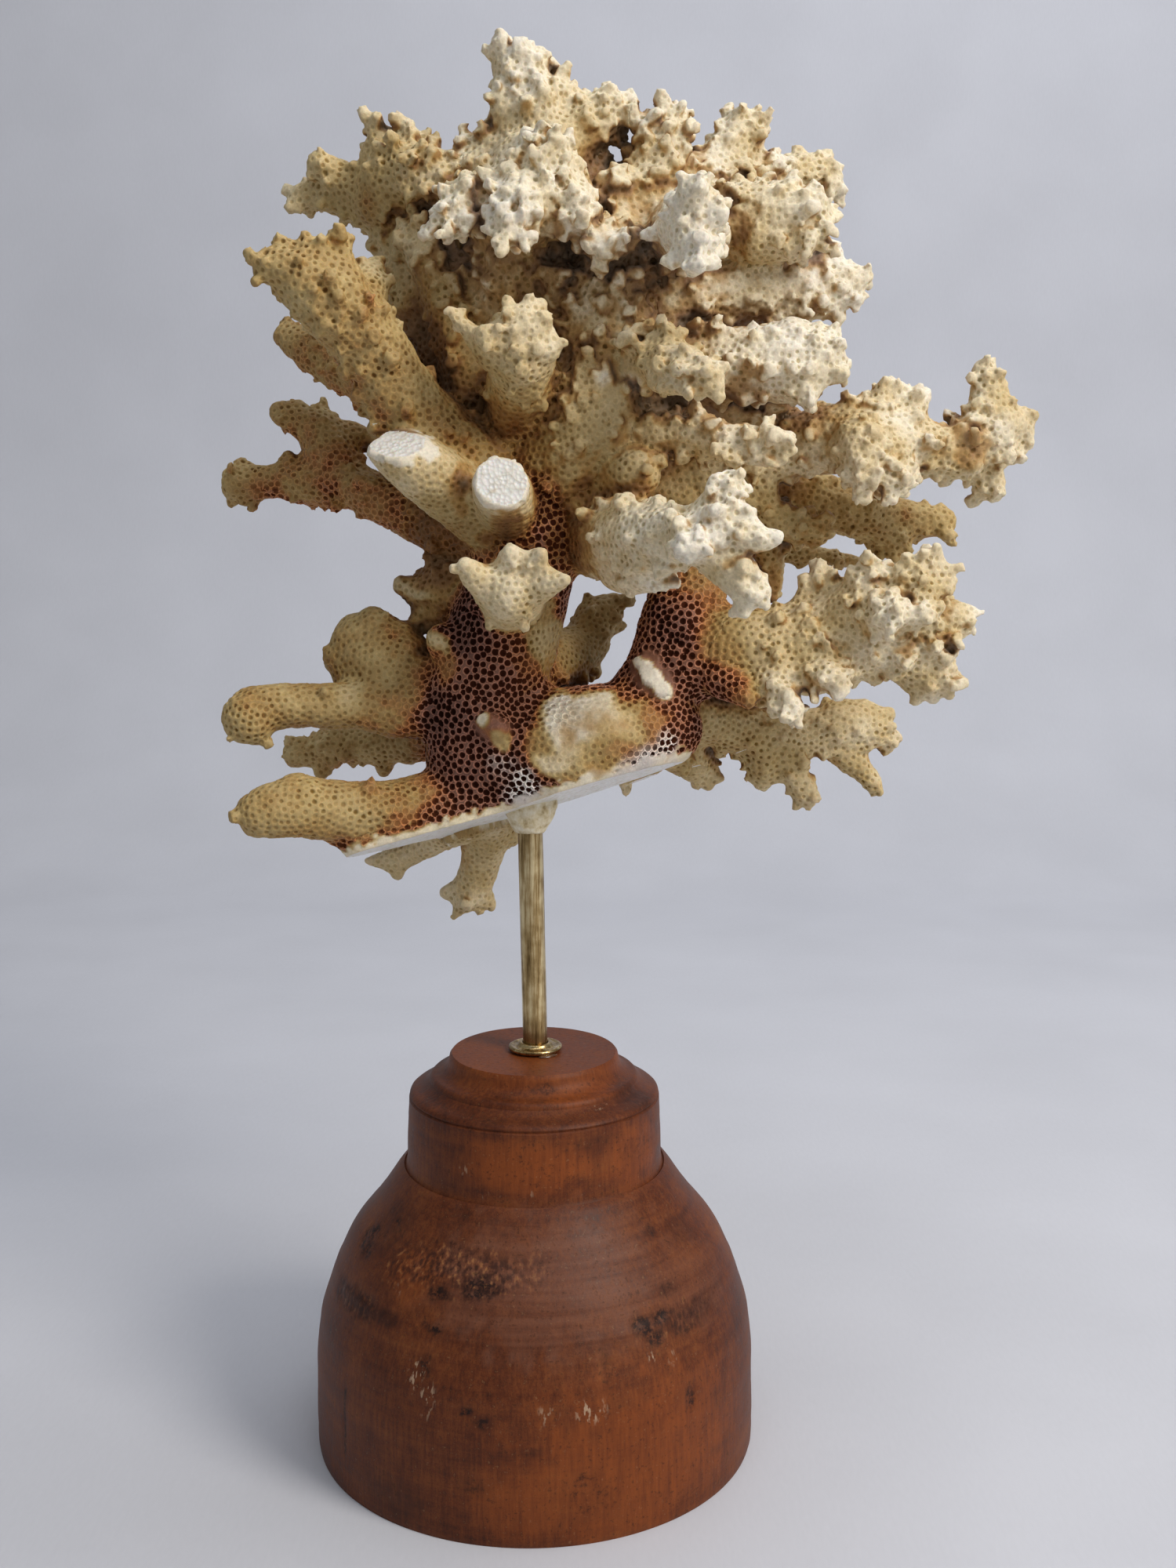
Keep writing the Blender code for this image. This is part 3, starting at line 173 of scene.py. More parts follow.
# A limb's tone at its root and at its tips, from 0 for white to 1 for maroon, how knobby
# its tips are, and its routes: lists of points (x, y, z, radius) from the root to the tip
LIMBS = {
    "left_stem": (0.98, 0.8, 0, [
        [(-9, 2, 126, 11.5), (-10, 1, 138, 11), (-10, 0, 150, 11), (-7, 0, 161, 11.5),
         (-3, 0, 173, 10.5), (-1, 0, 185, 11), (0, 2, 197, 10.5), (-2, 3, 206, 10)],
        [(-12, 0, 130, 10), (-24, -4, 128, 8), (-34, -8, 126, 6)],
        [(-4, -1, 141, 12), (6, -2, 142, 13.2), (16, -2, 144, 12.4), (25, -1, 147, 8.6)],
        [(-2, 4, 134, 8), (10, 4, 139, 7), (22, 3, 143, 5)], [(-8, -8, 147, 5), (-7, -13, 147, 2.5)],
        [(-14, -2, 161, 5), (-17, -3, 163, 4), (-18, -7, 165, 2.8)],
    ]),
    "right_stem": (0.92, 0.66, 0.05, [
        [(18, 0, 147, 8), (25, 1, 156, 8), (29, 2, 165, 8.5), (31, 4, 175, 7.5), (33, 8, 184, 6)],
        [(29, 1, 160, 8.5), (36, 0, 162, 8.5), (43, -1, 163, 8.5)],
        [(38, -6, 157, 5), (43, -14, 152.3, 1.9)],
    ]),
    "crown": (0.28, 0.1, 1, [
        [(-2, 3, 203, 8), (-3, 4, 212, 9), (-3, 4, 220, 9.5), (-2, 2, 230, 9.5), (-1, 0, 242, 10),
         (0, 0, 251, 9.5)],
        [(3, -2, 216, 5), (5, -5, 226, 3.8), (5.5, -7, 234, 3)],
        [(-4, -2, 245, 9), (-10, -10, 247, 6.5), (-15, -15, 243, 4)],
        [(-1, -6, 246, 9), (-2, -16, 246, 7), (-4, -21, 242, 4)],
        [(2, -4, 247, 9), (7, -13, 247, 6), (9, -17, 244, 4)], [(-6, 3, 250, 8), (-12, 3, 251, 6)],
        [(0, -6, 252, 8), (3, -14, 254, 6)],
        [(0, 2, 252, 8.5), (0.5, 2, 260, 7.5), (0, 1, 266, 6), (-2.5, 0, 272, 4.4)],
        [(-3, 0, 270, 4), (-6, 0, 274.4, 2.4)], [(0, 0, 269, 4.4), (2, 0, 273.6, 2.2)],
        [(2, 0, 262, 6), (5.5, -1, 266.5, 3.6), (8, -1, 266.8, 2.2)],
        [(-4, 0, 264, 4), (-6.6, -3, 267.6, 2.2)],
        [(4, 0, 256, 7.5), (10, 0, 260.5, 5.4), (15.5, 0, 263.5, 4.6), (18, 0, 264.5, 3)],
        [(-7, 2, 255, 4.6), (-12.5, 2, 258.4, 2.4)],
        [(-4, 4, 226, 9), (-12, 6, 233, 7), (-16, 7, 239, 5)],
    ]),
    "right_crown": (0.3, 0.1, 1, [
        [(4, -1, 196, 10), (12, -5, 206, 11), (14, -5, 217, 10.5), (15, -3, 228, 10),
         (18, -1, 238, 9.5)],
        [(20, 0, 240, 8), (23, 0, 250, 7), (25.5, 0, 257, 5.4), (27, 0, 261.5, 4)],
        [(24, -1, 256, 4.6), (22, -2, 261.4, 2.6)],
        [(18, -2, 242, 7), (16, -5, 248, 5), (17, -7, 252, 3)], [(17, -8, 240, 5), (14, -17, 239, 3.6)],
        [(15, 2, 240, 7), (12, 3, 248, 6), (10.6, 3, 253, 4)],
        [(27, 3, 242, 7.5), (33, 6, 250, 6), (37.5, 8, 256, 5), (40, 8, 261, 4)],
        [(40, 8, 257, 4), (43.6, 8, 260.6, 2.4)],
        [(33, 6, 246, 7), (41, 9, 250, 5.6), (46, 10, 254, 3)],
        [(38, 8, 246, 6), (48, 14, 250.5, 4.6), (55, 16, 252.4, 3.8), (57.6, 16, 249.5, 2.6)],
        [(28, 2, 238, 8), (38, -2, 243, 7.6), (47, -6, 244.5, 6.6), (53, -8, 245, 5.2)],
        [(44, -6, 241, 5.4), (55, -9, 240, 3)],
    ]),
    "low_left_finger": (0.6, 0.52, 0.04, [
        [(-18, -3, 131, 7), (-34, -10, 130.5, 5.8), (-47, -15, 131, 6.3), (-54, -17, 129.8, 5.3)],
        [(-47, -14, 133, 5), (-48, -15, 135, 3)], [(-39, -10, 127, 3), (-40, -11, 124.5, 1.5)],
    ]),
    "left_arm": (0.54, 0.49, 0.06, [
        [(-15, 0, 151, 7.5), (-30, 0, 151, 5.5), (-44, -3, 151.2, 4.3), (-55, -5, 150.5, 5)],
        [(-54, -5, 150.5, 5), (-56, -6, 148.5, 5.6)], [(-55, -5, 148, 4.5), (-56, -6, 146, 3)],
        [(-22, 4, 155, 7.5), (-30, 6, 160, 8), (-33, 7, 164, 6.4)],
        [(-29, 6, 162, 7), (-31.4, 6, 166.6, 4.6)], [(-33, 6, 158, 6.4), (-37, 6, 160.6, 4)],
        [(-26, 5, 160, 7), (-25.4, 5, 164.6, 3.4)],
    ]),
    "left_low_arm": (0.58, 0.52, 0.3, [
        [(-11, 8, 147, 6.5), (-19, 17, 146, 5.5), (-28, 22, 144, 4.5), (-38, 26, 143.5, 4),
         (-47, 28, 141.5, 2.8)],
        [(-40, 26, 142, 3), (-42, 26, 138, 1.8)], [(-29, 23, 142, 3), (-29.5, 23, 138.3, 1.8)],
        [(-24, 20, 143, 3.5), (-24.5, 20, 140.5, 1.8)],
    ]),
    "left_cluster": (0.45, 0.38, 0.35, [
        [(-8, 5, 173, 7.5), (-17, 8, 174, 6.2), (-22, 9, 174, 4), (-25.2, 9, 175, 2.2)],
        [(-17, 8, 175, 4.5), (-19, 9, 179.5, 2)], [(-13, 8, 175, 4.5), (-14, 10, 180, 2.6)],
        [(-17, 8, 170, 4.6), (-22, 9, 168.5, 2.4)],
    ]),
    "front_ledge": (0.32, 0.24, 0.12, [
        [(-4, -6, 172, 7), (-4, -16, 173, 6.8), (-4, -24, 174, 6)],
        [(-7, -22, 174, 5), (-11, -27, 177, 3), (-13, -29, 179, 1.9)],
        [(-4, -20, 176, 4.5), (-4, -28, 181, 2.4)], [(-2, -24, 177, 3.5), (2, -29, 181, 2)],
        [(-1, -24, 174, 4.5), (4, -28, 175.5, 3), (6.5, -30, 176, 1.8)],
        [(-4, -18, 171, 4.5), (-5, -24, 171.5, 4)],
    ]),
    "sawn_branches": (0.5, 0.28, 0, [
        [(-5, -2, 186, 8), (-12, -8, 191, 7), (-19, -14, 196, 6.5), (-25, -18, 200, 5.5)],
        [(-20, -14, 198, 5.5), (-29, -19, 200.5, 3)], [(-14, -8, 193, 6), (-14, -9, 199, 3.2)],
        [(-3, -4, 188, 6.5), (-5, -14, 191, 6), (-6, -24, 194, 5.6)],
    ]),
    "long_left_finger": (0.66, 0.54, 0.45, [
        [(-6, 4, 182, 7), (-22, 12, 188.5, 5.4), (-31, 14, 192.5, 4.6), (-34, 15, 194, 4)],
        [(-22, 14, 189, 5), (-34, 19, 193.8, 4.6), (-44, 22, 194.7, 4.6), (-51, 23, 194.9, 3.6),
         (-56.6, 24, 194.5, 3.8)],
        [(-37, 20, 196, 5.4), (-39, 21, 201, 5.4), (-42, 22, 205, 4.2), (-48.6, 22, 207.9, 2.2)],
        [(-42, 22, 204, 3.6), (-45, 22, 208.5, 1.9)],
        [(-40, 22, 203, 3.6), (-35, 22, 204, 2.6), (-31.5, 22, 203, 1.8)],
        [(-40, 22, 203, 3), (-40, 22, 207, 2)], [(-46, 22, 196, 3), (-47, 22, 199.5, 2)],
    ]),
    "upper_left_finger": (0.58, 0.48, 0.6, [
        [(-5, 0, 192, 9.5), (-21, -6, 205, 8.5), (-27, -10, 214, 7.3), (-32, -14, 222, 7),
         (-39, -19, 229.5, 7.6), (-46, -22, 234.5, 5.6), (-50.5, -23, 234.5, 3)],
        [(-38, -18, 231, 7), (-42, -20, 236, 5.4), (-46, -21, 239, 2.2)],
        [(-37, -16, 231, 6), (-37, -17, 236.5, 4.4), (-35.4, -16, 240.8, 2.1)],
        [(-33, -10, 228, 6), (-31, -6, 232, 4.6), (-29.4, -4, 235.4, 2.6)],
        [(-40, -20, 234, 5), (-40.5, -21, 238.6, 2.8)], [(-42, -19, 231, 5), (-47, -21, 231.5, 2.6)],
        [(-28, -9, 219, 5), (-25.5, -9, 221.5, 2)],
    ]),
    "small_left_finger": (0.64, 0.56, 0.4, [
        [(-8, 6, 201, 6.5), (-22, 6, 209, 5.6), (-31, 7, 214, 5.6), (-38, 10, 217.6, 4.8),
         (-44, 13, 220.6, 3.6), (-46.6, 14, 222.2, 2.9)],
    ]),
    "top_left_branch": (0.48, 0.28, 0.7, [
        [(-6, 7, 206, 9), (-16, 10, 220, 7), (-22, 11, 231, 5.8), (-26, 12, 240, 4.8),
         (-29, 12, 247, 5)],
        [(-10, 2, 214, 7), (-15, 2, 226, 5), (-19, 3, 235, 4.5), (-22, 4, 241, 4)],
        [(-27, 12, 244, 5), (-33, 14, 247.4, 4.6), (-39, 15, 248.2, 3.8), (-43.4, 16, 247.4, 3)],
        [(-33, 13, 249, 4.6), (-38, 12, 252.6, 3.6), (-39.6, 11, 253.4, 3)],
        [(-28, 10, 247, 6), (-25, 7, 251.5, 6.6), (-20, 4, 251.6, 6.4), (-15, 2, 250, 5.5)],
        [(-27, 8, 254, 4), (-28.5, 8, 259, 2.8), (-30.4, 8, 262.2, 2)],
        [(-24, 7, 256, 4), (-23, 7, 260.6, 2.8)], [(-29, 9, 252, 3.6), (-31.3, 9, 255.6, 2)],
        [(-23, 6, 240, 4), (-18.4, 0, 238, 2.4)],
    ]),
    "centre_front": (0.48, 0.28, 0.5, [
        [(-2, -4, 208, 7), (-2, -12, 214, 6.8), (-1.5, -20, 219, 6.8), (-1, -22, 223, 5.6)],
        [(0, -20, 219, 5.5), (3, -23, 220, 3.6)], [(-4, -20, 220, 5), (-8.5, -25, 222.5, 3)],
        [(-7, -20, 219, 4), (-12, -22, 223.5, 2.4), (-15.5, -23, 227, 1.5)],
        [(0, -21, 224, 4), (2, -22, 228, 2)], [(-4, -21, 223, 3.6), (-4, -24, 226.6, 2)],
    ]),
    "front_column": (0.1, 0.03, 0.65, [
        [(28, -3, 241, 7.5), (30, -18, 242, 6.5), (31, -29, 243, 5.6)],
        [(31, -29, 244, 5.2), (31, -32, 249.4, 3.6)], [(31, -29, 241, 5), (31.5, -32, 236.4, 3.6)],
        [(32, -29, 243, 4.4), (36, -32, 244.6, 2.6)],
    ]),
    "right_upper_arm": (0.12, 0.04, 0.75, [
        [(16, 0, 226, 9), (30, 1, 230, 8), (40, 2, 230.8, 7.4), (50, 3, 230.4, 6), (57, 3, 230.2, 4.8),
         (62, 2, 229, 2.6)],
        [(52, 3, 233, 4.6), (57.6, 3, 236.8, 2.8)], [(58, 3, 232, 4), (63.8, 2, 233.8, 2.4)],
    ]),
    "right_lower_arm": (0.2, 0.08, 0.8, [
        [(13, -4, 211, 8.5), (28, -5, 215.4, 7.4), (40, -8, 217, 7.4), (50, -10, 218, 7),
         (55.4, -11, 218.6, 6)],
        [(50, -10, 221, 5), (58, -11, 222.4, 2.8)],
        [(20, 2, 208, 7), (34, 5, 208.3, 6), (46, 4, 209, 5)],
        [(48, -10, 214.5, 4.8), (53, -13, 212, 3.4), (54, -13, 208.8, 2.2)],
        [(55, -12, 216, 4.4), (60, -12, 214.8, 2.4)],
    ]),
    "front_shelf": (0.34, 0.24, 0.7, [
        [(17, -4, 218, 7.5), (24, -16, 218, 5.6), (29, -25, 216.4, 5), (34, -29, 214.6, 4)],
        [(24, -24, 213.8, 2.2), (30, -28, 213, 3), (36, -31, 212.8, 2.4)],
        [(21, -12, 220, 4.6), (18.6, -18, 221, 2.6)], [(24, -15, 220, 4.6), (26, -20, 223, 3)],
    ]),
    "knobby_arm": (0.3, 0.16, 1, [
        [(10, -4, 203, 7), (22, -9, 204.5, 4.6), (33, -14, 203.5, 4.2), (42, -18, 202.5, 3.8),
         (50.5, -22, 203.3, 2.2)],
        [(40, -17, 201, 3.6), (48.5, -20, 198.6, 1.9)], [(30, -13, 204, 3.6), (35, -17, 206, 2)],
        [(36, -15, 203, 3.6), (37.5, -20, 200.5, 2.4)],
    ]),
    "far_right_arm": (0.42, 0.12, 0.8, [
        [(6, 5, 196, 9), (24, 8, 196, 7), (38, 7, 198, 6.5), (52, 4, 202, 6.6), (64, 0, 203, 7.4),
         (71, -2, 201.6, 6)],
        [(62, 0, 203, 6.5), (64, -7, 201, 6), (65, -9, 196.4, 4.6)],
        [(68, -4, 200, 5.6), (71, -7, 194.6, 3.6)], [(62, 0, 206, 5), (61.6, 0, 210, 2.4)],
        [(66, 0, 206, 5), (68, 0, 211.6, 3), (71, 0, 213, 1.8)], [(70, 0, 205, 5), (76, 0, 211.4, 2.2)],
        [(70, 0, 202, 6), (77, 1, 201, 5.6), (82, 2, 200, 5.4), (88, 3, 204, 6.2)],
        [(88.5, 3, 206, 5.4), (88.3, 3, 212, 4), (87.4, 3, 216, 3)],
        [(90, 3, 205, 5), (94, 3, 205.6, 3.6), (96.3, 3, 201.8, 1.8)],
        [(88, 4, 202, 4.6), (88, 5, 197, 3.8), (90, 5, 192.6, 2.4)],
        [(91, 3, 203, 3.8), (93.5, 3, 199.5, 2)],
    ]),
    "right_back_arm": (0.52, 0.46, 0.35, [
        [(8, 10, 190, 7), (28, 20, 193, 5.8), (44, 22, 194, 5.6), (57, 23, 191, 5.4),
         (67, 24, 187.6, 5.4), (71, 24, 182.6, 3.4)],
        [(68, 24, 188, 4.8), (75, 25, 187.5, 3.6), (79.8, 25, 187.2, 3.4)],
        [(26, 20, 192, 5), (35, 27, 187.5, 4), (44, 34, 182.4, 2.9), (54, 36, 181, 2.1),
         (63.5, 36, 179.5, 1.3)],
    ]),
    "tan_stub": (0.5, 0.4, 0.1, [
        [(5, -1, 191, 7.5), (15, -6, 195, 6.2), (19.8, -12, 196.3, 5.4)],
    ]),
    "tan_branch": (0.46, 0.34, 0.6, [
        [(26, 7, 193, 5.5), (42, 6, 190.6, 4.4), (49, 4, 187.4, 4), (56, 3, 185, 3.2)],
        [(42, 6, 193, 3.6), (46, 3, 194, 2.4)], [(44, 7, 188, 4), (46.6, 10, 179, 3), (47, 10, 173, 2)],
    ]),
    "white_branch": (0.32, 0.06, 0.6, [
        [(11, 2, 184, 7), (16, -10, 183.6, 8.4), (21, -22, 183.6, 8), (28, -32, 184.5, 6.6),
         (36, -39, 185, 6)],
        [(18, -14, 179, 6), (22, -22, 177.5, 4.8), (27, -26, 176, 2.4)],
        [(33, -36, 187.5, 4.4), (38.5, -38, 193.5, 3.9)], [(37, -39, 188, 3.6), (43, -42, 189.3, 1.8)],
        [(37, -39, 185.5, 4.4), (43, -42, 184.5, 3.4), (47.5, -43, 183.8, 2.1)],
        [(30, -35, 184, 5), (31, -43, 182, 4.2)],
        [(36, -38, 181, 5), (40, -40, 176.5, 4.6), (43.3, -41, 173.2, 3.9)],
        [(16, -12, 187, 5), (14.5, -15, 189.5, 2.6)],
    ]),
    "right_fan": (0.42, 0.14, 0.75, [
        [(39, -2, 162.5, 8), (52, -4, 162.5, 8.2), (62, -6, 163, 7.4), (72, -8, 163, 6.8),
         (79, -9, 162, 5)],
        [(46, -2, 166, 5), (55, -4, 168, 4.6), (63, -8, 170, 5)],
        [(53, -3, 170, 3.4), (55.3, -3, 177.5, 1.2)], [(57, -4, 170, 3.6), (58.6, -4, 179, 1.2)],
        [(62, -7, 169, 6), (65.6, -9, 175, 4.6), (67.6, -10, 177.6, 3)],
        [(71, -10, 170, 5.6), (75, -12, 177, 4.2), (78.5, -13, 181, 2.4)],
        [(76, -12, 174, 4.4), (81, -12, 178, 2.6)], [(68, -10, 168, 5.6), (70, -18, 169, 4)],
        [(74, -11, 168, 5), (77, -17, 169.5, 3.2)],
        [(76, -9, 167, 5), (83, -9, 169, 3.4), (87, -9, 169.5, 1.7)],
        [(80, -9, 167, 4), (86.5, -9, 166, 1.7)],
        [(74, -8, 160, 5.4), (80, -9, 156.5, 4), (85, -9, 156, 1.8)],
        [(76, -8, 157, 4.4), (79, -9, 153.5, 2.6)],
        [(55, -8, 158, 5), (59, -15, 157, 4), (61.5, -17, 154, 2.3)],
        [(48, -5, 160, 6.5), (49, -12, 154, 4), (52, -16, 150, 2.8)],
    ]),
    "low_right_branch": (0.44, 0.32, 0.45, [
        [(24, 4, 152, 7), (37, 12, 148.5, 5.6), (47, 16, 145.5, 5.6), (58, 18, 146, 5),
         (67, 18, 146.5, 4.4)],
        [(60, 18, 147.5, 5), (65.5, 18, 149, 4)], [(65, 18, 148, 3.4), (70.5, 18, 149.8, 2)],
        [(67, 18, 146, 3.6), (72, 18, 145, 1.8)],
        [(60, 18, 143.5, 3.6), (65, 18, 139, 3), (68, 18, 135.5, 2.2)],
        [(46, 16, 143, 5.4), (46, 16, 138, 4), (45.5, 16, 135.3, 1.8)],
        [(50, 16, 142, 4.6), (52.5, 16, 137, 3.2), (54.8, 16, 132.6, 2.4)],
        [(43, 15, 145, 4), (43, 15, 140.5, 2.2)],
    ]),
    "low_back_branch": (0.46, 0.36, 0.35, [
        [(22, 6, 147, 7), (29, 16, 143.5, 5.6), (33, 22, 139, 4.4), (34.6, 22, 135.8, 2.4)],
        [(22, 8, 142, 5), (18.6, 12, 136.6, 2.2)], [(32, 22, 142, 2.8), (35.6, 22, 143.2, 1.4)],
        [(33, 22, 138.5, 2.6), (37.6, 22, 136.6, 1.4)], [(30, 20, 146, 3.6), (33.6, 22, 148.6, 1.6)],
    ]),
    "hanging_branch": (0.38, 0.28, 0.1, [
        [(-8, 8, 133, 6), (-9.6, 18, 126, 5.2), (-10.7, 22, 119, 4.1), (-12.6, 23, 113.5, 3.8)],
        [(-13, 23, 114, 2.8), (-18, 23, 113.6, 1.5)], [(-13, 23, 112.5, 2.6), (-15, 23, 110.2, 1.6)],
        [(-11, 23, 114, 2.8), (-8.4, 23, 111, 1.5)], [(-7, 18, 127, 4), (-4, 20, 124.5, 2.2)],
    ]),
    "left_hanging_branch": (0.36, 0.24, 0.1, [
        [(-13, 8, 129, 5), (-22, 16, 123, 3), (-29, 18, 120.5, 2.2), (-33, 18, 120.2, 1.4)],
        [(-27, 18, 121, 2), (-27.4, 18, 117.2, 1.5)],
    ]),
    "mid_back_branch": (0.5, 0.42, 0.4, [
        [(-3, 4, 157, 7), (9, 24, 162, 5.4), (13, 28, 169, 4.6), (16.5, 30, 171.8, 2.2)],
        [(13, 28, 167, 3.6), (17.8, 30, 167, 1.7)], [(9, 26, 161, 4.6), (12, 28, 158, 2.4)],
    ]),
    "back_crown": (0.42, 0.3, 0.7, [
        [(-1, 4, 228, 8), (1, 22, 238, 6.5), (2, 38, 247, 5.5), (2, 48, 253, 3.4)],
        [(1, 30, 243, 5), (-8, 42, 247, 3.4), (-12, 48, 249, 2)],
        [(2, 32, 244, 5), (10, 44, 247, 3.6), (14, 50, 248, 2)], [(2, 38, 246, 4), (4, 52, 246, 2.4)],
    ]),
    "back_left_branch": (0.5, 0.36, 0.6, [
        [(-4, 6, 200, 8), (-10, 26, 208, 6.5), (-14, 42, 215, 5.4), (-17, 54, 220, 3.2)],
        [(-12, 34, 211, 5), (-20, 46, 210, 3.4), (-23, 52, 209, 2)],
        [(-13, 38, 213, 4.6), (-9, 52, 217, 3), (-7, 58, 220, 1.8)],
    ]),
    "back_middle_branch": (0.56, 0.38, 0.6, [
        [(2, 6, 188, 8), (7, 26, 193, 6.4), (9, 42, 197, 5.2), (10, 56, 201, 3.2)],
        [(8, 34, 195, 5), (15, 48, 197, 3.4), (18, 54, 198, 2)],
        [(8, 36, 195, 4.6), (4, 50, 193, 3), (2, 58, 193, 1.8)],
    ]),
    "back_right_branch": (0.4, 0.24, 0.7, [
        [(15, 2, 216, 8), (25, 22, 220, 6), (33, 36, 224, 5), (39, 48, 227, 3)],
        [(29, 30, 222, 4.8), (30, 46, 226, 3.2), (29, 54, 229, 2)],
        [(32, 36, 223, 4.4), (42, 44, 221, 2.8), (47, 48, 219, 1.8)],
    ]),
    "back_upper_right": (0.36, 0.2, 0.8, [
        [(22, 2, 238, 7.5), (31, 20, 242, 5.6), (38, 32, 244, 4.6), (44, 40, 245, 3)],
        [(33, 24, 243, 4.6), (32, 38, 247, 3.2), (31, 46, 249, 2)],
        [(37, 32, 244, 4), (46, 34, 241, 2.4)],
    ]),
    "back_low_branch": (0.7, 0.42, 0.5, [
        [(-7, 6, 164, 8), (-9, 26, 166, 6), (-10, 40, 168, 5), (-10, 52, 172, 3)],
        [(-9, 34, 167, 4.8), (-4, 46, 166, 3.2), (-2, 52, 165, 2)],
        [(-10, 40, 168, 4.4), (-15, 50, 170, 2.6)],
    ]),
    "back_foot_branch": (0.6, 0.4, 0.5, [
        [(12, 4, 145, 7.5), (16, 22, 146, 5.6), (18, 36, 147, 4.6), (19, 46, 149, 2.8)],
        [(17, 30, 146.5, 4.4), (24, 40, 147, 2.8), (27, 44, 147, 1.8)],
        [(17, 32, 146, 4), (12, 44, 145, 2.6)],
    ]),
    "back_fan": (0.5, 0.3, 0.6, [
        [(39, 3, 163, 7.5), (48, 18, 163, 5.6), (56, 30, 164, 4.8), (62, 40, 165, 3)],
        [(52, 24, 163.5, 4.8), (52, 40, 166, 3.2), (51, 48, 168, 2)],
        [(56, 30, 164, 4.2), (66, 34, 162, 2.6)],
    ]),
}

# Turned wood, as radius and height of each ring from the foot up; True where the edge is sharp
WOOD_RINGS = [
    (44.4, 0, True), (45, 0.6, False), (45, 12, False), (44.8, 20, False), (43.7, 28, False),
    (41.3, 36, False), (40.2, 38.6, True), (37.2, 44.5, False), (32.0, 51, False),
    (27.5, 57.5, False), (26.4, 57.9, True), (26.05, 58.5, True), (25.4, 72.0, True),
    (25.0, 72.3, True), (25.2, 72.8, False), (24.6, 73.5, False), (22.5, 74.4, False),
    (21.2, 75.4, True), (21.1, 76.1, False), (20.6, 76.6, False), (19.0, 77.1, False),
    (17.6, 78.4, False), (17.0, 80.4, True), (16.6, 80.9, True),
]
WOOD_BORE = 2.8
WOOD_BORE_FLOOR = 61.7
WOOD_SIDES = 360
WOOD_STEP = 0.8

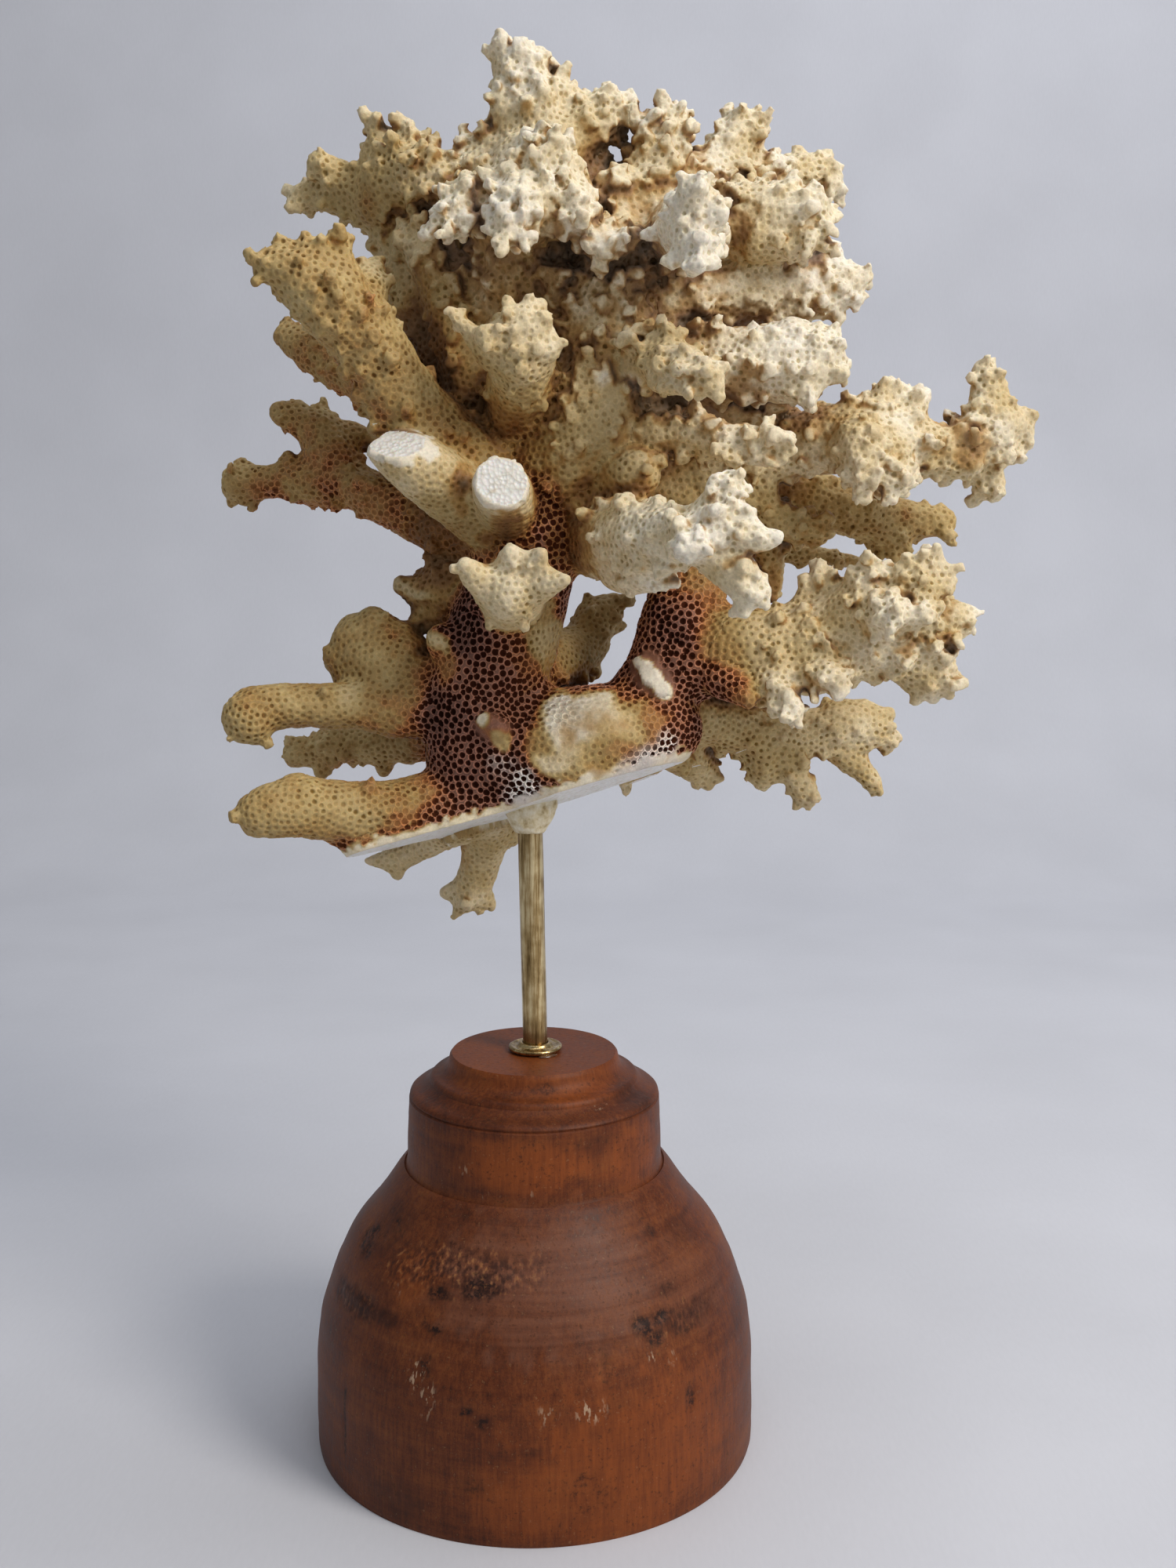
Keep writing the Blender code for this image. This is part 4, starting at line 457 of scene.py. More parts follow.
# Marks on the wood: angle in degrees, height, half width, half height, strength.
# The angle is measured round the base from +X, so -90 is the middle of the front.
WOOD_MARKS = {
    "stain": [
        (-157, 47.5, 2.6, 2.4, 1.0), (-153, 45.5, 2.2, 2.0, 0.9), (-147, 50.0, 6.0, 4.5, 0.45),
        (-153, 36.6, 6.0, 3.0, 0.7), (-142, 37.6, 6.0, 2.6, 0.75), (-132, 37.8, 5.0, 1.4, 0.6),
        (-117, 44.3, 2.6, 1.6, 1.0), (-105, 46.0, 4.0, 2.2, 1.0), (-116, 38.5, 2.2, 0.9, 1.0),
        (-119, 38.7, 1.2, 0.8, 0.9), (-117, 32.3, 1.7, 2.4, 0.85), (-105, 25.5, 1.8, 1.0, 1.0),
        (-101, 23.9, 2.3, 1.3, 0.95), (-58, 38.2, 2.6, 1.8, 0.95), (-51, 38.7, 3.0, 1.7, 1.0),
        (-55, 35.3, 2.4, 1.8, 0.9), (-44, 36.0, 5.5, 2.6, 0.65), (-36, 37.5, 4.5, 2.2, 0.5),
        (-47, 42.5, 2.8, 1.6, 0.6), (-43, 51.5, 1.5, 1.3, 0.9), (-47, 23.5, 1.7, 2.6, 0.9),
        (-89, 18.7, 2.6, 1.0, 0.5), (-103, 11.3, 3.4, 2.0, 0.5), (-77, 12.9, 1.7, 1.2, 0.55),
        (-70, 33.0, 1.0, 6.0, 0.5), (-70, 27.0, 0.8, 5.0, 0.35), (-81, 78.5, 3.4, 1.2, 0.7),
        (-28, 75.0, 5.5, 3.0, 0.6), (-64, 69.5, 8.0, 1.7, 0.35), (-35, 66.0, 6.0, 3.0, 0.3),
        (-110, 73.5, 3.0, 0.9, 0.5), (-75, 9.0, 6.0, 5.0, 0.3), (-146, 51.5, 0.9, 0.8, 1.0),
        (-30, 50.0, 5.0, 3.0, 0.35), (-125, 6.0, 9.0, 4.0, 0.35), (-20, 27.0, 5.0, 6.0, 0.2),
        (20, 40.0, 5.0, 3.0, 0.6), (65, 30.0, 3.0, 2.0, 0.8), (100, 44.0, 6.0, 3.0, 0.5),
        (140, 22.0, 2.2, 1.6, 0.8), (165, 35.0, 5.0, 2.4, 0.6),
    ],
    "torn": [
        (-133, 46.5, 5.0, 4.0, 0.8), (-120, 47.8, 8.0, 4.5, 1.0), (-104, 48.0, 8.0, 4.0, 1.0),
        (-94, 48.5, 7.0, 3.5, 0.5), (-48, 37.5, 9.0, 3.0, 0.7), (-146, 37.5, 9.0, 3.0, 0.6),
        (95, 45.0, 9.0, 4.0, 0.7),
    ],
    "fleck": [
        (-119, 30.5, 1.8, 2.6, 1.0), (-115, 26.8, 1.7, 3.2, 1.0), (-85, 25.6, 2.0, 1.7, 0.8),
        (-75, 25.6, 3.0, 2.2, 1.0), (-57, 32.8, 1.3, 1.0, 0.9), (-51, 31.5, 0.9, 1.1, 0.7),
        (-120, 64.0, 1.6, 1.0, 0.8), (-109, 60.0, 0.8, 1.3, 0.8), (-90, 60.5, 0.6, 0.8, 0.6),
        (-50, 74.9, 3.2, 0.5, 0.7), (-131, 43.0, 1.2, 1.0, 0.6), (80, 26.0, 2.4, 2.4, 0.8),
    ],
    "orange": [
        (-62, 14.0, 26.0, 18.0, 0.9), (-92, 65.5, 16.0, 6.0, 1.0), (-88, 9.0, 14.0, 9.0, 0.7),
        (-60, 77.5, 12.0, 2.2, 0.8), (-128, 45.0, 6.0, 5.0, 0.5), (60, 20.0, 22.0, 16.0, 0.7),
        (150, 60.0, 12.0, 10.0, 0.6), (-90, 80.5, 60.0, 3.0, 0.55), (-38, 65.0, 9.0, 7.0, 0.9),
    ],
    # Bloom marks are painted sheen: soft grey-brown patches on the dome where light glances off it
    "painted_sheen": [(-84, 46.0, 26.0, 12.0, 0.9), (-40, 42.0, 14.0, 9.0, 0.5), (80, 45.0, 24.0, 11.0, 0.6)],
}
CRACK = (-143, 8.5, 22.0)

# Brass rod: it leans a little to the left on its way up
ROD_RADIUS = 2.5
ROD_BOTTOM = 62
ROD_TOP = 140
ROD_SIDE = 0.3
ROD_LEAN = -0.018
ROD_SIDES = 64
COLLAR_SIDES = 96
FILLER_SIDES = 72
BASE_HEIGHT = 80.9

# Pressed brass collar on the wood, as radius and height over it
COLLAR_RINGS = [
    (2.6, 0.25), (2.6, 1.7), (2.9, 1.95), (3.3, 1.85), (3.5, 1.5), (3.8, 1.2), (4.3, 1.12),
    (4.7, 1.25), (5.05, 1.3), (5.35, 1.1), (5.45, 0.8), (5.35, 0.5), (5.1, 0.3),
]

# Filler round the rod's top, as radius and height
FILLER_RINGS = [
    (2.45, 126.3), (3.0, 126.0), (3.6, 126.9), (4.4, 128.6), (4.9, 130.6), (4.9, 132.6),
    (3.6, 134.2), (2.45, 134.6),
]

# The stage, in metres: how far the floor reaches, where the wall stands and how wide it bends
FLOOR_REACH = 2.0
WALL_Y = 0.82
WALL_BEND = 0.32


def linear(hex_colour):
    """The linear colour of an sRGB hex value such as 8a4a26."""
    parts = [int(hex_colour[i:i + 2], 16) / 255 for i in (0, 2, 4)]
    return tuple(c / 12.92 if c <= 0.04045 else ((c + 0.055) / 1.055) ** 2.4 for c in parts)


def add_node(tree, kind, links=None, stops=(), **settings):
    """Adds a node with its settings. Each input of links gets a value, an sRGB hex colour, or
    what comes out of a node. Stops are the positions and hex colours of a colour ramp."""
    node = tree.nodes.new(kind)
    for name, value in settings.items():
        setattr(node, name, value)
    for i, (position, colour) in enumerate(stops):
        spots = node.color_ramp.elements
        spot = spots[0] if i == 0 else spots.new(position) if i < len(stops) - 1 else spots[-1]
        spot.position = position
        spot.color = (*linear(colour), 1)
    for key, given in (links or {}).items():
        socket = node.inputs[key]
        for value in given if isinstance(given, list) else [given]:
            if isinstance(value, bpy.types.Node):
                value = next(out for out in value.outputs if out.enabled)
            if isinstance(value, bpy.types.NodeSocket):
                tree.links.new(value, socket)
            elif socket.type == "RGBA":
                socket.default_value = (*linear(value), 1)
            else:
                socket.default_value = value
    return node


def put_object(name, mesh, *materials):
    for material in materials:
        mesh.materials.append(bpy.data.materials[material])
    obj = bpy.data.objects.new(name, mesh)
    bpy.context.scene.collection.objects.link(obj)
    return obj


def drop(obj):
    """Removes a helper object and its mesh."""
    mesh = obj.data
    bpy.data.objects.remove(obj)
    bpy.data.meshes.remove(mesh)


def finished(obj, nodes):
    """Hands a finished piece over: it rides on the root and stands for its CAD nodes."""
    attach(obj, "root")
    if nodes:
        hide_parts(*nodes)


def apply_modifiers(obj):
    """Makes what the object's modifiers show its mesh."""
    bpy.context.view_layer.update()
    graph = bpy.context.evaluated_depsgraph_get()
    mesh = bpy.data.meshes.new_from_object(obj.evaluated_get(graph))
    obj.modifiers.clear()
    old, obj.data = obj.data, mesh
    bpy.data.meshes.remove(old)
    return obj


def new_geometry_tree(name, **sizes):
    """A geometry tree with named inputs, a whole number, a length or an object each; what
    adds a node to it; and the sockets of its inputs."""
    tree = bpy.data.node_groups.new(name, "GeometryNodeTree")
    tree.is_modifier = True
    tree.interface.new_socket("Geometry", in_out="INPUT", socket_type="NodeSocketGeometry")
    tree.interface.new_socket("Geometry", in_out="OUTPUT", socket_type="NodeSocketGeometry")
    for size, kind in sizes.items():
        tree.interface.new_socket(size, in_out="INPUT", socket_type="NodeSocket" + kind)
    add = partial(add_node, tree)
    return tree, add, add("NodeGroupInput").outputs


def run_tree(obj, tree, **values):
    """Puts the tree on the object with its inputs set, and makes the result its mesh."""
    modifier = obj.modifiers.new(tree.name, "NODES")
    modifier.node_group = tree
    for item in tree.interface.items_tree:
        if item.in_out == "INPUT" and item.name in values:
            modifier[item.identifier] = values[item.name]
    return apply_modifiers(obj)


def finish_tree(tree, add, geometry):
    """Ends a tree in Realize Instances and Set Material."""
    real = add("GeometryNodeRealizeInstances", {"Geometry": geometry})
    skeleton = bpy.data.materials["pored coral skeleton"]
    painted = add("GeometryNodeSetMaterial", {"Geometry": real, "Material": skeleton})
    add("NodeGroupOutput", {"Geometry": painted})
    return tree


def place_on_sight_line(point):
    """The real place and radius, in metres, of a point that is seen from EYE on y = 0."""
    x, y, z, radius = point
    depth = 1 + y / -EYE.y
    seen = Vector((x, 0, z))
    return (EYE + (seen - EYE) * depth) * MM, radius * depth * MM


def smooth_route(route):
    """Places, radii and shares of the way along a smooth curve through the route's points."""
    placed = [place_on_sight_line(point) for point in route]
    last = len(placed) - 1
    samples = []
    for i in range(last):
        p0 = placed[max(i - 1, 0)][0]
        p1, r1 = placed[i]
        p2, r2 = placed[i + 1]
        p3 = placed[min(i + 2, last)][0]
        for step in range(ROUTE_STEPS):
            t = step / ROUTE_STEPS
            place = (p1 * (2 * t**3 - 3 * t**2 + 1) + (p2 - p0) * (t**3 - 2 * t**2 + t) / 2
                     + p2 * (3 * t**2 - 2 * t**3) + (p3 - p1) * (t**3 - t**2) / 2)
            samples.append((place, r1 + (r2 - r1) * t, (i + t) / last))
    samples.append((*placed[-1], 1.0))
    return samples


def route_object(limbs):
    """The centre lines of some limbs, with what their surface needs to know kept on them."""
    places, edges, rows, ways = [], [], [], []
    for number, (name, (root_tone, tip_tone, knobby, routes)) in enumerate(LIMBS.items()):
        for route in routes if name in limbs else ():
            samples = smooth_route(route)
            first = len(places)
            for place, radius, share in samples:
                places.append(place)
                tone = root_tone + (tip_tone - root_tone) * share
                rows.append((radius, tone, knobby * share**0.7, number))
            edges += [(first + i, first + i + 1) for i in range(len(samples) - 1)]
            steps = [(b[0] - a[0]).normalized() for a, b in zip(samples, samples[1:])]
            ways += [*steps, steps[-1]]
    mesh = bpy.data.meshes.new("coral routes")
    mesh.from_pydata(places, edges, [])
    for i, name in enumerate(("girth", "tone", "knobby", "limb")):
        give_values(mesh, name, "POINT", np.array([row[i] for row in rows]))
    give_values(mesh, "growth", "POINT", np.array(ways))
    return put_object("coral routes", mesh)


def limb_tube_tree():
    """Round tubes along the routes, with a ball on each end."""
    tree, add, given = new_geometry_tree("limb tubes", Sides="Int")
    girth = add("GeometryNodeInputNamedAttribute", {"Name": "girth"})
    lines = add("GeometryNodeMeshToCurve", {"Mesh": given["Geometry"]})
    ring = add("GeometryNodeCurvePrimitiveCircle", {"Resolution": given["Sides"], "Radius": 1.0})
    tubes = add("GeometryNodeCurveToMesh",
                {"Curve": lines, "Profile Curve": ring, "Scale": girth, "Fill Caps": True})
    neighbours = add("GeometryNodeInputMeshVertexNeighbors")
    is_end = add("FunctionNodeCompare", {2: neighbours, 3: 1}, data_type="INT", operation="EQUAL")
    ends = add("GeometryNodeMeshToPoints", {"Mesh": given["Geometry"], "Selection": is_end})
    ball = add("GeometryNodeMeshIcoSphere", {"Radius": 1.0, "Subdivisions": 3})
    balls = add("GeometryNodeInstanceOnPoints", {"Points": ends, "Instance": ball, "Scale": girth})
    both = add("GeometryNodeJoinGeometry", {"Geometry": [balls, tubes]})
    return finish_tree(tree, add, both)


def melt(obj, voxel, rounds):
    """Melts an object's shells into one skin and softens it."""
    remesh = obj.modifiers.new("Melt", "REMESH")
    remesh.mode = "VOXEL"
    remesh.voxel_size = voxel
    remesh.use_smooth_shade = True
    soften = obj.modifiers.new("Soften", "SMOOTH")
    soften.factor = 0.5
    soften.iterations = rounds
    return apply_modifiers(obj)


def saw_block(place, facing):
    """A block that fills the side which a saw cut faces, from a little beyond the cut."""
    shape = bmesh.new()
    bmesh.ops.create_cube(shape, size=SAW_BLOCK)
    mesh = bpy.data.meshes.new("saw block")
    shape.to_mesh(mesh)
    shape.free()
    obj = put_object("saw block", mesh)
    away = Vector(facing).normalized()
    obj.location = Vector(place) * MM + away * (SAW_BLOCK / 2 + SAW_SPARE)
    obj.rotation_euler = away.to_track_quat("Z", "Y").to_euler()
    return obj


def rough_skin(tubes, voxel):
    """All limbs melted into one skin, the sawn ones cut first."""
    sawn_sets = list(dict.fromkeys(names for names, place, facing, reach in SAW_CUTS))
    sawn = {name for names in sawn_sets for name in names}
    parts = [run_tree(route_object(set(LIMBS) - sawn), tubes, Sides=TUBE_SIDES)]
    for names in sawn_sets:
        part = melt(run_tree(route_object(names), tubes, Sides=TUBE_SIDES), voxel, 1)
        blocks = [saw_block(place, facing) for cut, place, facing, reach in SAW_CUTS if cut == names]
        for block in blocks:
            boolean = part.modifiers.new("Cut", "BOOLEAN")
            boolean.operation = "DIFFERENCE"
            boolean.solver = "MANIFOLD"
            boolean.object = block
        parts.append(apply_modifiers(part))
        for block in blocks:
            drop(block)
    shape = bmesh.new()
    for part in parts:
        shape.from_mesh(part.data)
        drop(part)
    mesh = bpy.data.meshes.new("coral skin")
    shape.to_mesh(mesh)
    shape.free()
    return melt(put_object("coral skin", mesh), voxel, 4)


def value_tree(name, values):
    """Keeps on a surface some values of a guide's nearest surface, each blurred by some
    rounds: the values' names, rounds, kinds and domains."""
    tree, add, given = new_geometry_tree(name, Guide="Object")
    guide = add("GeometryNodeObjectInfo", {"Object": given["Guide"]})
    surface = given["Geometry"]
    for name, rounds, kind, domain in values:
        value = add("GeometryNodeInputNamedAttribute", {"Name": name}, data_type=kind)
        value = add("GeometryNodeSampleNearestSurface",
                    {"Mesh": guide.outputs["Geometry"], "Value": value}, data_type=kind)
        if rounds:
            value = add("GeometryNodeBlurAttribute", {"Value": value, "Iterations": rounds},
                        data_type=kind)
        surface = add("GeometryNodeStoreNamedAttribute",
                      {"Geometry": surface, "Name": name, "Value": value}, data_type=kind,
                      domain=domain)
    return finish_tree(tree, add, surface)


def knob_tree():
    """Blunt nubs that stand out of the skin and lean towards the limb's tip, thickest on the
    tips."""
    tree, add, given = new_geometry_tree("coral knobs", Spacing="Float", Radius="Float",
                                         Longest="Float", Seed="Int")
    square = add("ShaderNodeMath", {0: given["Spacing"], 1: 2.0}, operation="POWER")
    density = add("ShaderNodeMath", {0: 3.0, 1: square}, operation="DIVIDE")
    knobby = add("GeometryNodeInputNamedAttribute", {"Name": "knobby"})
    growth = add("GeometryNodeInputNamedAttribute", {"Name": "growth"}, data_type="FLOAT_VECTOR")
    spots = add("GeometryNodeDistributePointsOnFaces",
                {"Mesh": given["Geometry"], "Distance Min": given["Spacing"], "Density Max": density,
                 "Density Factor": knobby, "Seed": given["Seed"]}, distribute_method="POISSON")
    narrow, tall, sunk = [add("ShaderNodeMath", {0: given["Radius"], 1: share}, operation="MULTIPLY")
                          for share in (0.75, 2.0, -1.0)]
    knob = add("GeometryNodeMeshCone",
               {"Vertices": 8, "Radius Top": narrow, "Radius Bottom": given["Radius"], "Depth": tall})
    below = add("ShaderNodeCombineXYZ", {"Z": sunk})
    knob = add("GeometryNodeTransform", {"Geometry": knob, "Translation": below})
    width = add("FunctionNodeRandomValue", {2: 0.65, 3: 1.25, "Seed": 1})
    stretch = add("FunctionNodeRandomValue", {2: 0.75, 3: given["Longest"], "Seed": 2})
    lean = add("FunctionNodeRandomValue", {0: (-0.5, -0.5, -0.5), 1: (0.5, 0.5, 0.5), "Seed": 5},
               data_type="FLOAT_VECTOR")
    way = add("ShaderNodeVectorMath", {0: growth, 1: (0.6,) * 3, 2: lean}, operation="MULTIPLY_ADD")
    way = add("ShaderNodeVectorMath", {0: way, 1: spots.outputs["Normal"]}, operation="ADD")
    turned = add("FunctionNodeAlignRotationToVector", {"Vector": way}, axis="Z")
    length = add("ShaderNodeMath", {0: width, 1: stretch}, operation="MULTIPLY")
    size = add("ShaderNodeCombineXYZ", {"X": width, "Y": width, "Z": length})
    knobs = add("GeometryNodeInstanceOnPoints",
                {"Points": spots, "Instance": knob, "Rotation": turned, "Scale": size})
    both = add("GeometryNodeJoinGeometry", {"Geometry": [given["Geometry"], knobs]})
    return finish_tree(tree, add, both)


def shelter_tree():
    """Keeps on the surface how deep in a crevice each point lies, in millimetres, and how
    open it lies: the mean share of the reach that rays from it run free."""
    tree, add, given = new_geometry_tree("shelter", Reach="Float")
    surface = given["Geometry"]
    place = add("GeometryNodeInputPosition")
    facing = add("GeometryNodeInputNormal")
    level = add("GeometryNodeBlurAttribute", {"Value": place, "Iterations": 12},
                data_type="FLOAT_VECTOR")
    rise = add("ShaderNodeVectorMath", {0: level, 1: place}, operation="SUBTRACT")
    depth = add("ShaderNodeVectorMath", {0: rise, 1: facing}, operation="DOT_PRODUCT")
    crevice = add("ShaderNodeMath", {0: depth, 1: 1 / MM}, operation="MULTIPLY")
    start = add("ShaderNodeVectorMath", {0: facing, 1: (MM,) * 3, 2: place}, operation="MULTIPLY_ADD")
    free = 0.0
    for i in range(SHELTER_RAYS):
        up = 1 - (2 * i + 1) / SHELTER_RAYS
        turn, flat = i * GOLDEN_ANGLE, RAY_SPREAD * math.sqrt(1 - up * up)
        way = (flat * math.cos(turn), flat * math.sin(turn), RAY_SPREAD * up)
        way = add("ShaderNodeVectorMath", {0: facing, 1: way}, operation="ADD")
        ray = add("GeometryNodeRaycast",
                  {"Target Geometry": surface, "Source Position": start, "Ray Direction": way,
                   "Ray Length": given["Reach"]})
        free = add("ShaderNodeMath", {0: ray.outputs["Hit Distance"], 1: free}, operation="ADD")
    share = add("ShaderNodeMath", {0: free, 1: given["Reach"]}, operation="DIVIDE")
    share = add("ShaderNodeMath", {0: share, 1: SHELTER_RAYS}, operation="DIVIDE")
    kept = surface
    for name, value in (("crevice", crevice), ("open", share)):
        value = add("GeometryNodeBlurAttribute", {"Value": value, "Iterations": 2})
        kept = add("GeometryNodeStoreNamedAttribute", {"Geometry": kept, "Name": name, "Value": value})
    return finish_tree(tree, add, kept)


def pore_tree():
    """Pores spread evenly over the surface. Each face keeps the middle and size of its own
    pore, each point keeps where it was, and the pores are then sunk into the surface."""
    tree, add, given = new_geometry_tree("coral pores", Spacing="Float", Radius="Float", Depth="Float",
                                         Seed="Int")
    place = add("GeometryNodeInputPosition")
    facing = add("GeometryNodeInputNormal")
    sharp, deep = [add("GeometryNodeInputNamedAttribute", {"Name": name}) for name in ("sharp", "deep")]
    surface = add("GeometryNodeStoreNamedAttribute",
                  {"Geometry": given["Geometry"], "Name": "ground", "Value": place},
                  data_type="FLOAT_VECTOR")
    apart = add("ShaderNodeMath", {0: given["Spacing"], 1: 0.78}, operation="MULTIPLY")
    square = add("ShaderNodeMath", {0: given["Spacing"], 1: 2.0}, operation="POWER")
    density = add("ShaderNodeMath", {0: 4.0, 1: square}, operation="DIVIDE")
    pores = add("GeometryNodeDistributePointsOnFaces",
                {"Mesh": surface, "Distance Min": apart, "Density Max": density, "Seed": given["Seed"]},
                distribute_method="POISSON")
    for _ in range(PORE_ROUNDS):
        pores = evened_pores(add, surface, pores, place)
    own = add("GeometryNodeSampleNearest", {"Geometry": pores, "Sample Position": place},
              domain="POINT")
    middle = add("GeometryNodeSampleIndex", {"Geometry": pores, "Index": own, "Value": place},
                 data_type="FLOAT_VECTOR", domain="POINT")
    size = add("FunctionNodeRandomValue", {2: 0.8, 3: 1.15, "ID": own, "Seed": 3})
    for name, value, kind in (("pore_mid", middle, "FLOAT_VECTOR"), ("pore_size", size, "FLOAT")):
        surface = add("GeometryNodeStoreNamedAttribute",
                      {"Geometry": surface, "Name": name, "Value": value}, data_type=kind,
                      domain="FACE")
    away = add("ShaderNodeVectorMath", {0: place, 1: middle}, operation="DISTANCE")
    reach = add("ShaderNodeMath", {0: given["Radius"], 1: size}, operation="MULTIPLY")
    share = add("ShaderNodeMath", {0: away, 1: reach}, operation="DIVIDE")
    inner = add("ShaderNodeMath", {0: sharp, 1: 0.45, 2: 0.1}, operation="MULTIPLY_ADD")
    outer = add("ShaderNodeMath", {0: sharp, 1: -0.35, 2: 1.7}, operation="MULTIPLY_ADD")
    dip = add("ShaderNodeMapRange",
              {"Value": share, "From Min": inner, "From Max": outer, "To Min": -1.0, "To Max": 0.15},
              interpolation_type="SMOOTHSTEP")
    for value in (deep, given["Depth"]):
        dip = add("ShaderNodeMath", {0: dip, 1: value}, operation="MULTIPLY")
    offset = add("ShaderNodeVectorMath", {0: facing, "Scale": dip}, operation="SCALE")
    surface = add("GeometryNodeSetPosition", {"Geometry": surface, "Offset": offset})
    return finish_tree(tree, add, surface)


def evened_pores(add, surface, pores, place):
    """The pores, each moved to the middle of the surface that is nearest to it."""
    own = add("GeometryNodeSampleNearest", {"Geometry": pores, "Sample Position": place},
              domain="POINT")
    total = add("GeometryNodeAccumulateField", {"Group ID": own, "Value": place},
                data_type="FLOAT_VECTOR")
    count = add("GeometryNodeAccumulateField", {"Group ID": own, "Value": 1.0}, data_type="FLOAT")
    share = add("ShaderNodeMath", {0: 1.0, 1: count.outputs["Total"]}, operation="DIVIDE")
    middle = add("ShaderNodeVectorMath", {0: total.outputs["Total"], "Scale": share}, operation="SCALE")
    near = add("GeometryNodeSampleNearest", {"Geometry": surface, "Sample Position": place},
               domain="POINT")
    found = add("GeometryNodeSampleIndex", {"Geometry": surface, "Index": near, "Value": middle},
                data_type="FLOAT_VECTOR", domain="POINT")
    return add("GeometryNodeSetPosition", {"Geometry": pores, "Position": found})


def values_of(mesh, name, width=1):
    """One of the mesh's named values as an array."""
    data = mesh.attributes[name].data
    array = np.empty(len(data) * width, np.float32)
    data.foreach_get("vector" if width == 3 else "value", array)
    return array.reshape(-1, 3) if width == 3 else array


def places_of(mesh):
    array = np.empty(len(mesh.vertices) * 3, np.float32)
    mesh.vertices.foreach_get("co", array)
    return array.reshape(-1, 3)


def quads_of(mesh):
    array = np.empty(len(mesh.loops), np.int32)
    mesh.loops.foreach_get("vertex_index", array)
    return array.reshape(-1, 4)


def give_values(mesh, name, domain, array):
    """Keeps an array of numbers or of vectors on the mesh under a name."""
    wide = array.ndim == 2
    kind = "FLOAT_VECTOR" if wide else "FLOAT"
    layer = mesh.attributes.get(name) or mesh.attributes.new(name, kind, domain)
    layer.data.foreach_set("vector" if wide else "value", array.astype(np.float32).ravel())


def near(places, centre, radius):
    """1 at the centre, falling smoothly to 0 at the radius."""
    away = np.linalg.norm(places - np.array(centre) * MM, axis=1) / (radius * MM)
    left = np.clip(1.5 - 1.5 * away, 0, 1)
    return left * left * (3 - 2 * left)


def normals_of(mesh):
    array = np.empty(len(mesh.vertices) * 3, np.float32)
    mesh.vertex_normals.foreach_get("vector", array)
    return array.reshape(-1, 3)


def move_points(mesh, places):
    mesh.vertices.foreach_set("co", places.astype(np.float32).ravel())
    mesh.update()


def swell(mesh, height, shrink):
    """Makes the skin lumpy, and thinner where knobs will stand on it."""
    places = places_of(mesh)
    change = height * (hash_noise(places, 7, 81) + 0.5 * hash_noise(places, 3.5, 82))
    change -= shrink * values_of(mesh, "knobby")
    move_points(mesh, places + normals_of(mesh) * change[:, None])


def twist(mesh, amount):
    """Bends the fine surface a little this way and that, so that no knob stays round."""
    places = places_of(mesh)
    bend = np.stack([hash_noise(places, 2.3, seed) for seed in (91, 92, 93)], axis=1)
    share = 0.35 + 0.65 * np.clip(values_of(mesh, "knobby"), 0, 1)
    move_points(mesh, places + bend * (amount * share)[:, None])


def flatten_saw_cuts(mesh):
    """Pushes what stands beyond a saw cut back onto it, and marks what then lies on it. The
    edge of each cut is crumbled."""
    places, quads, normals = places_of(mesh), quads_of(mesh), normals_of(mesh)
    limb = values_of(mesh, "limb")
    names = list(LIMBS)
    sawn, chalk = np.zeros((2, len(places)), np.float32)
    crumbs = np.stack([hash_noise(places, 1.1, seed) for seed in (71, 72, 73)], axis=1)
    for cut, place, facing, reach in SAW_CUTS:
        away = np.array(Vector(facing).normalized(), np.float32)
        numbers = [names.index(name) for name in cut]
        own = np.zeros(len(places), bool)
        own[quads[np.isin(np.round(limb), numbers)].ravel()] = True
        beyond = (places - np.array(place, np.float32) * MM) @ away
        here = own | ((normals @ away > 0.8) & (beyond < 2 * SAW_SPARE))
        here &= (beyond > 0) & (beyond < 3 * SAW_SPARE)
        inside = np.linalg.norm(places / MM - np.array(place), axis=1) < reach
        here &= inside
        edge = smooth(1.9 + 1.2 * crumbs[:, 0] - np.abs(beyond) / MM, 0, 1)
        chalk = np.maximum(chalk, edge * (own & inside))
        rim = np.where(np.abs(beyond) < 1.2 * MM, 1.0, 0.0) * own
        rim *= np.clip(1.25 - np.abs(normals @ away), 0, 1)
        places += (crumbs - (crumbs @ away)[:, None] * away) * (rim * 0.45 * MM)[:, None]
        places[here] -= beyond[here, None] * away
        sawn[here] = 1
    move_points(mesh, places)
    give_values(mesh, "sawn", "POINT", sawn)
    give_values(mesh, "chalk", "POINT", chalk)


def ramp(values, stops):
    """The linear colour of each value, from (position, sRGB hex) stops."""
    positions = [position for position, colour in stops]
    colours = np.array([linear(colour) for position, colour in stops])
    return np.stack([np.interp(values, positions, colours[:, i]) for i in range(3)], axis=1)


def smooth(values, low, high):
    share = np.clip((values - low) / (high - low), 0, 1)
    return share * share * (3 - 2 * share)


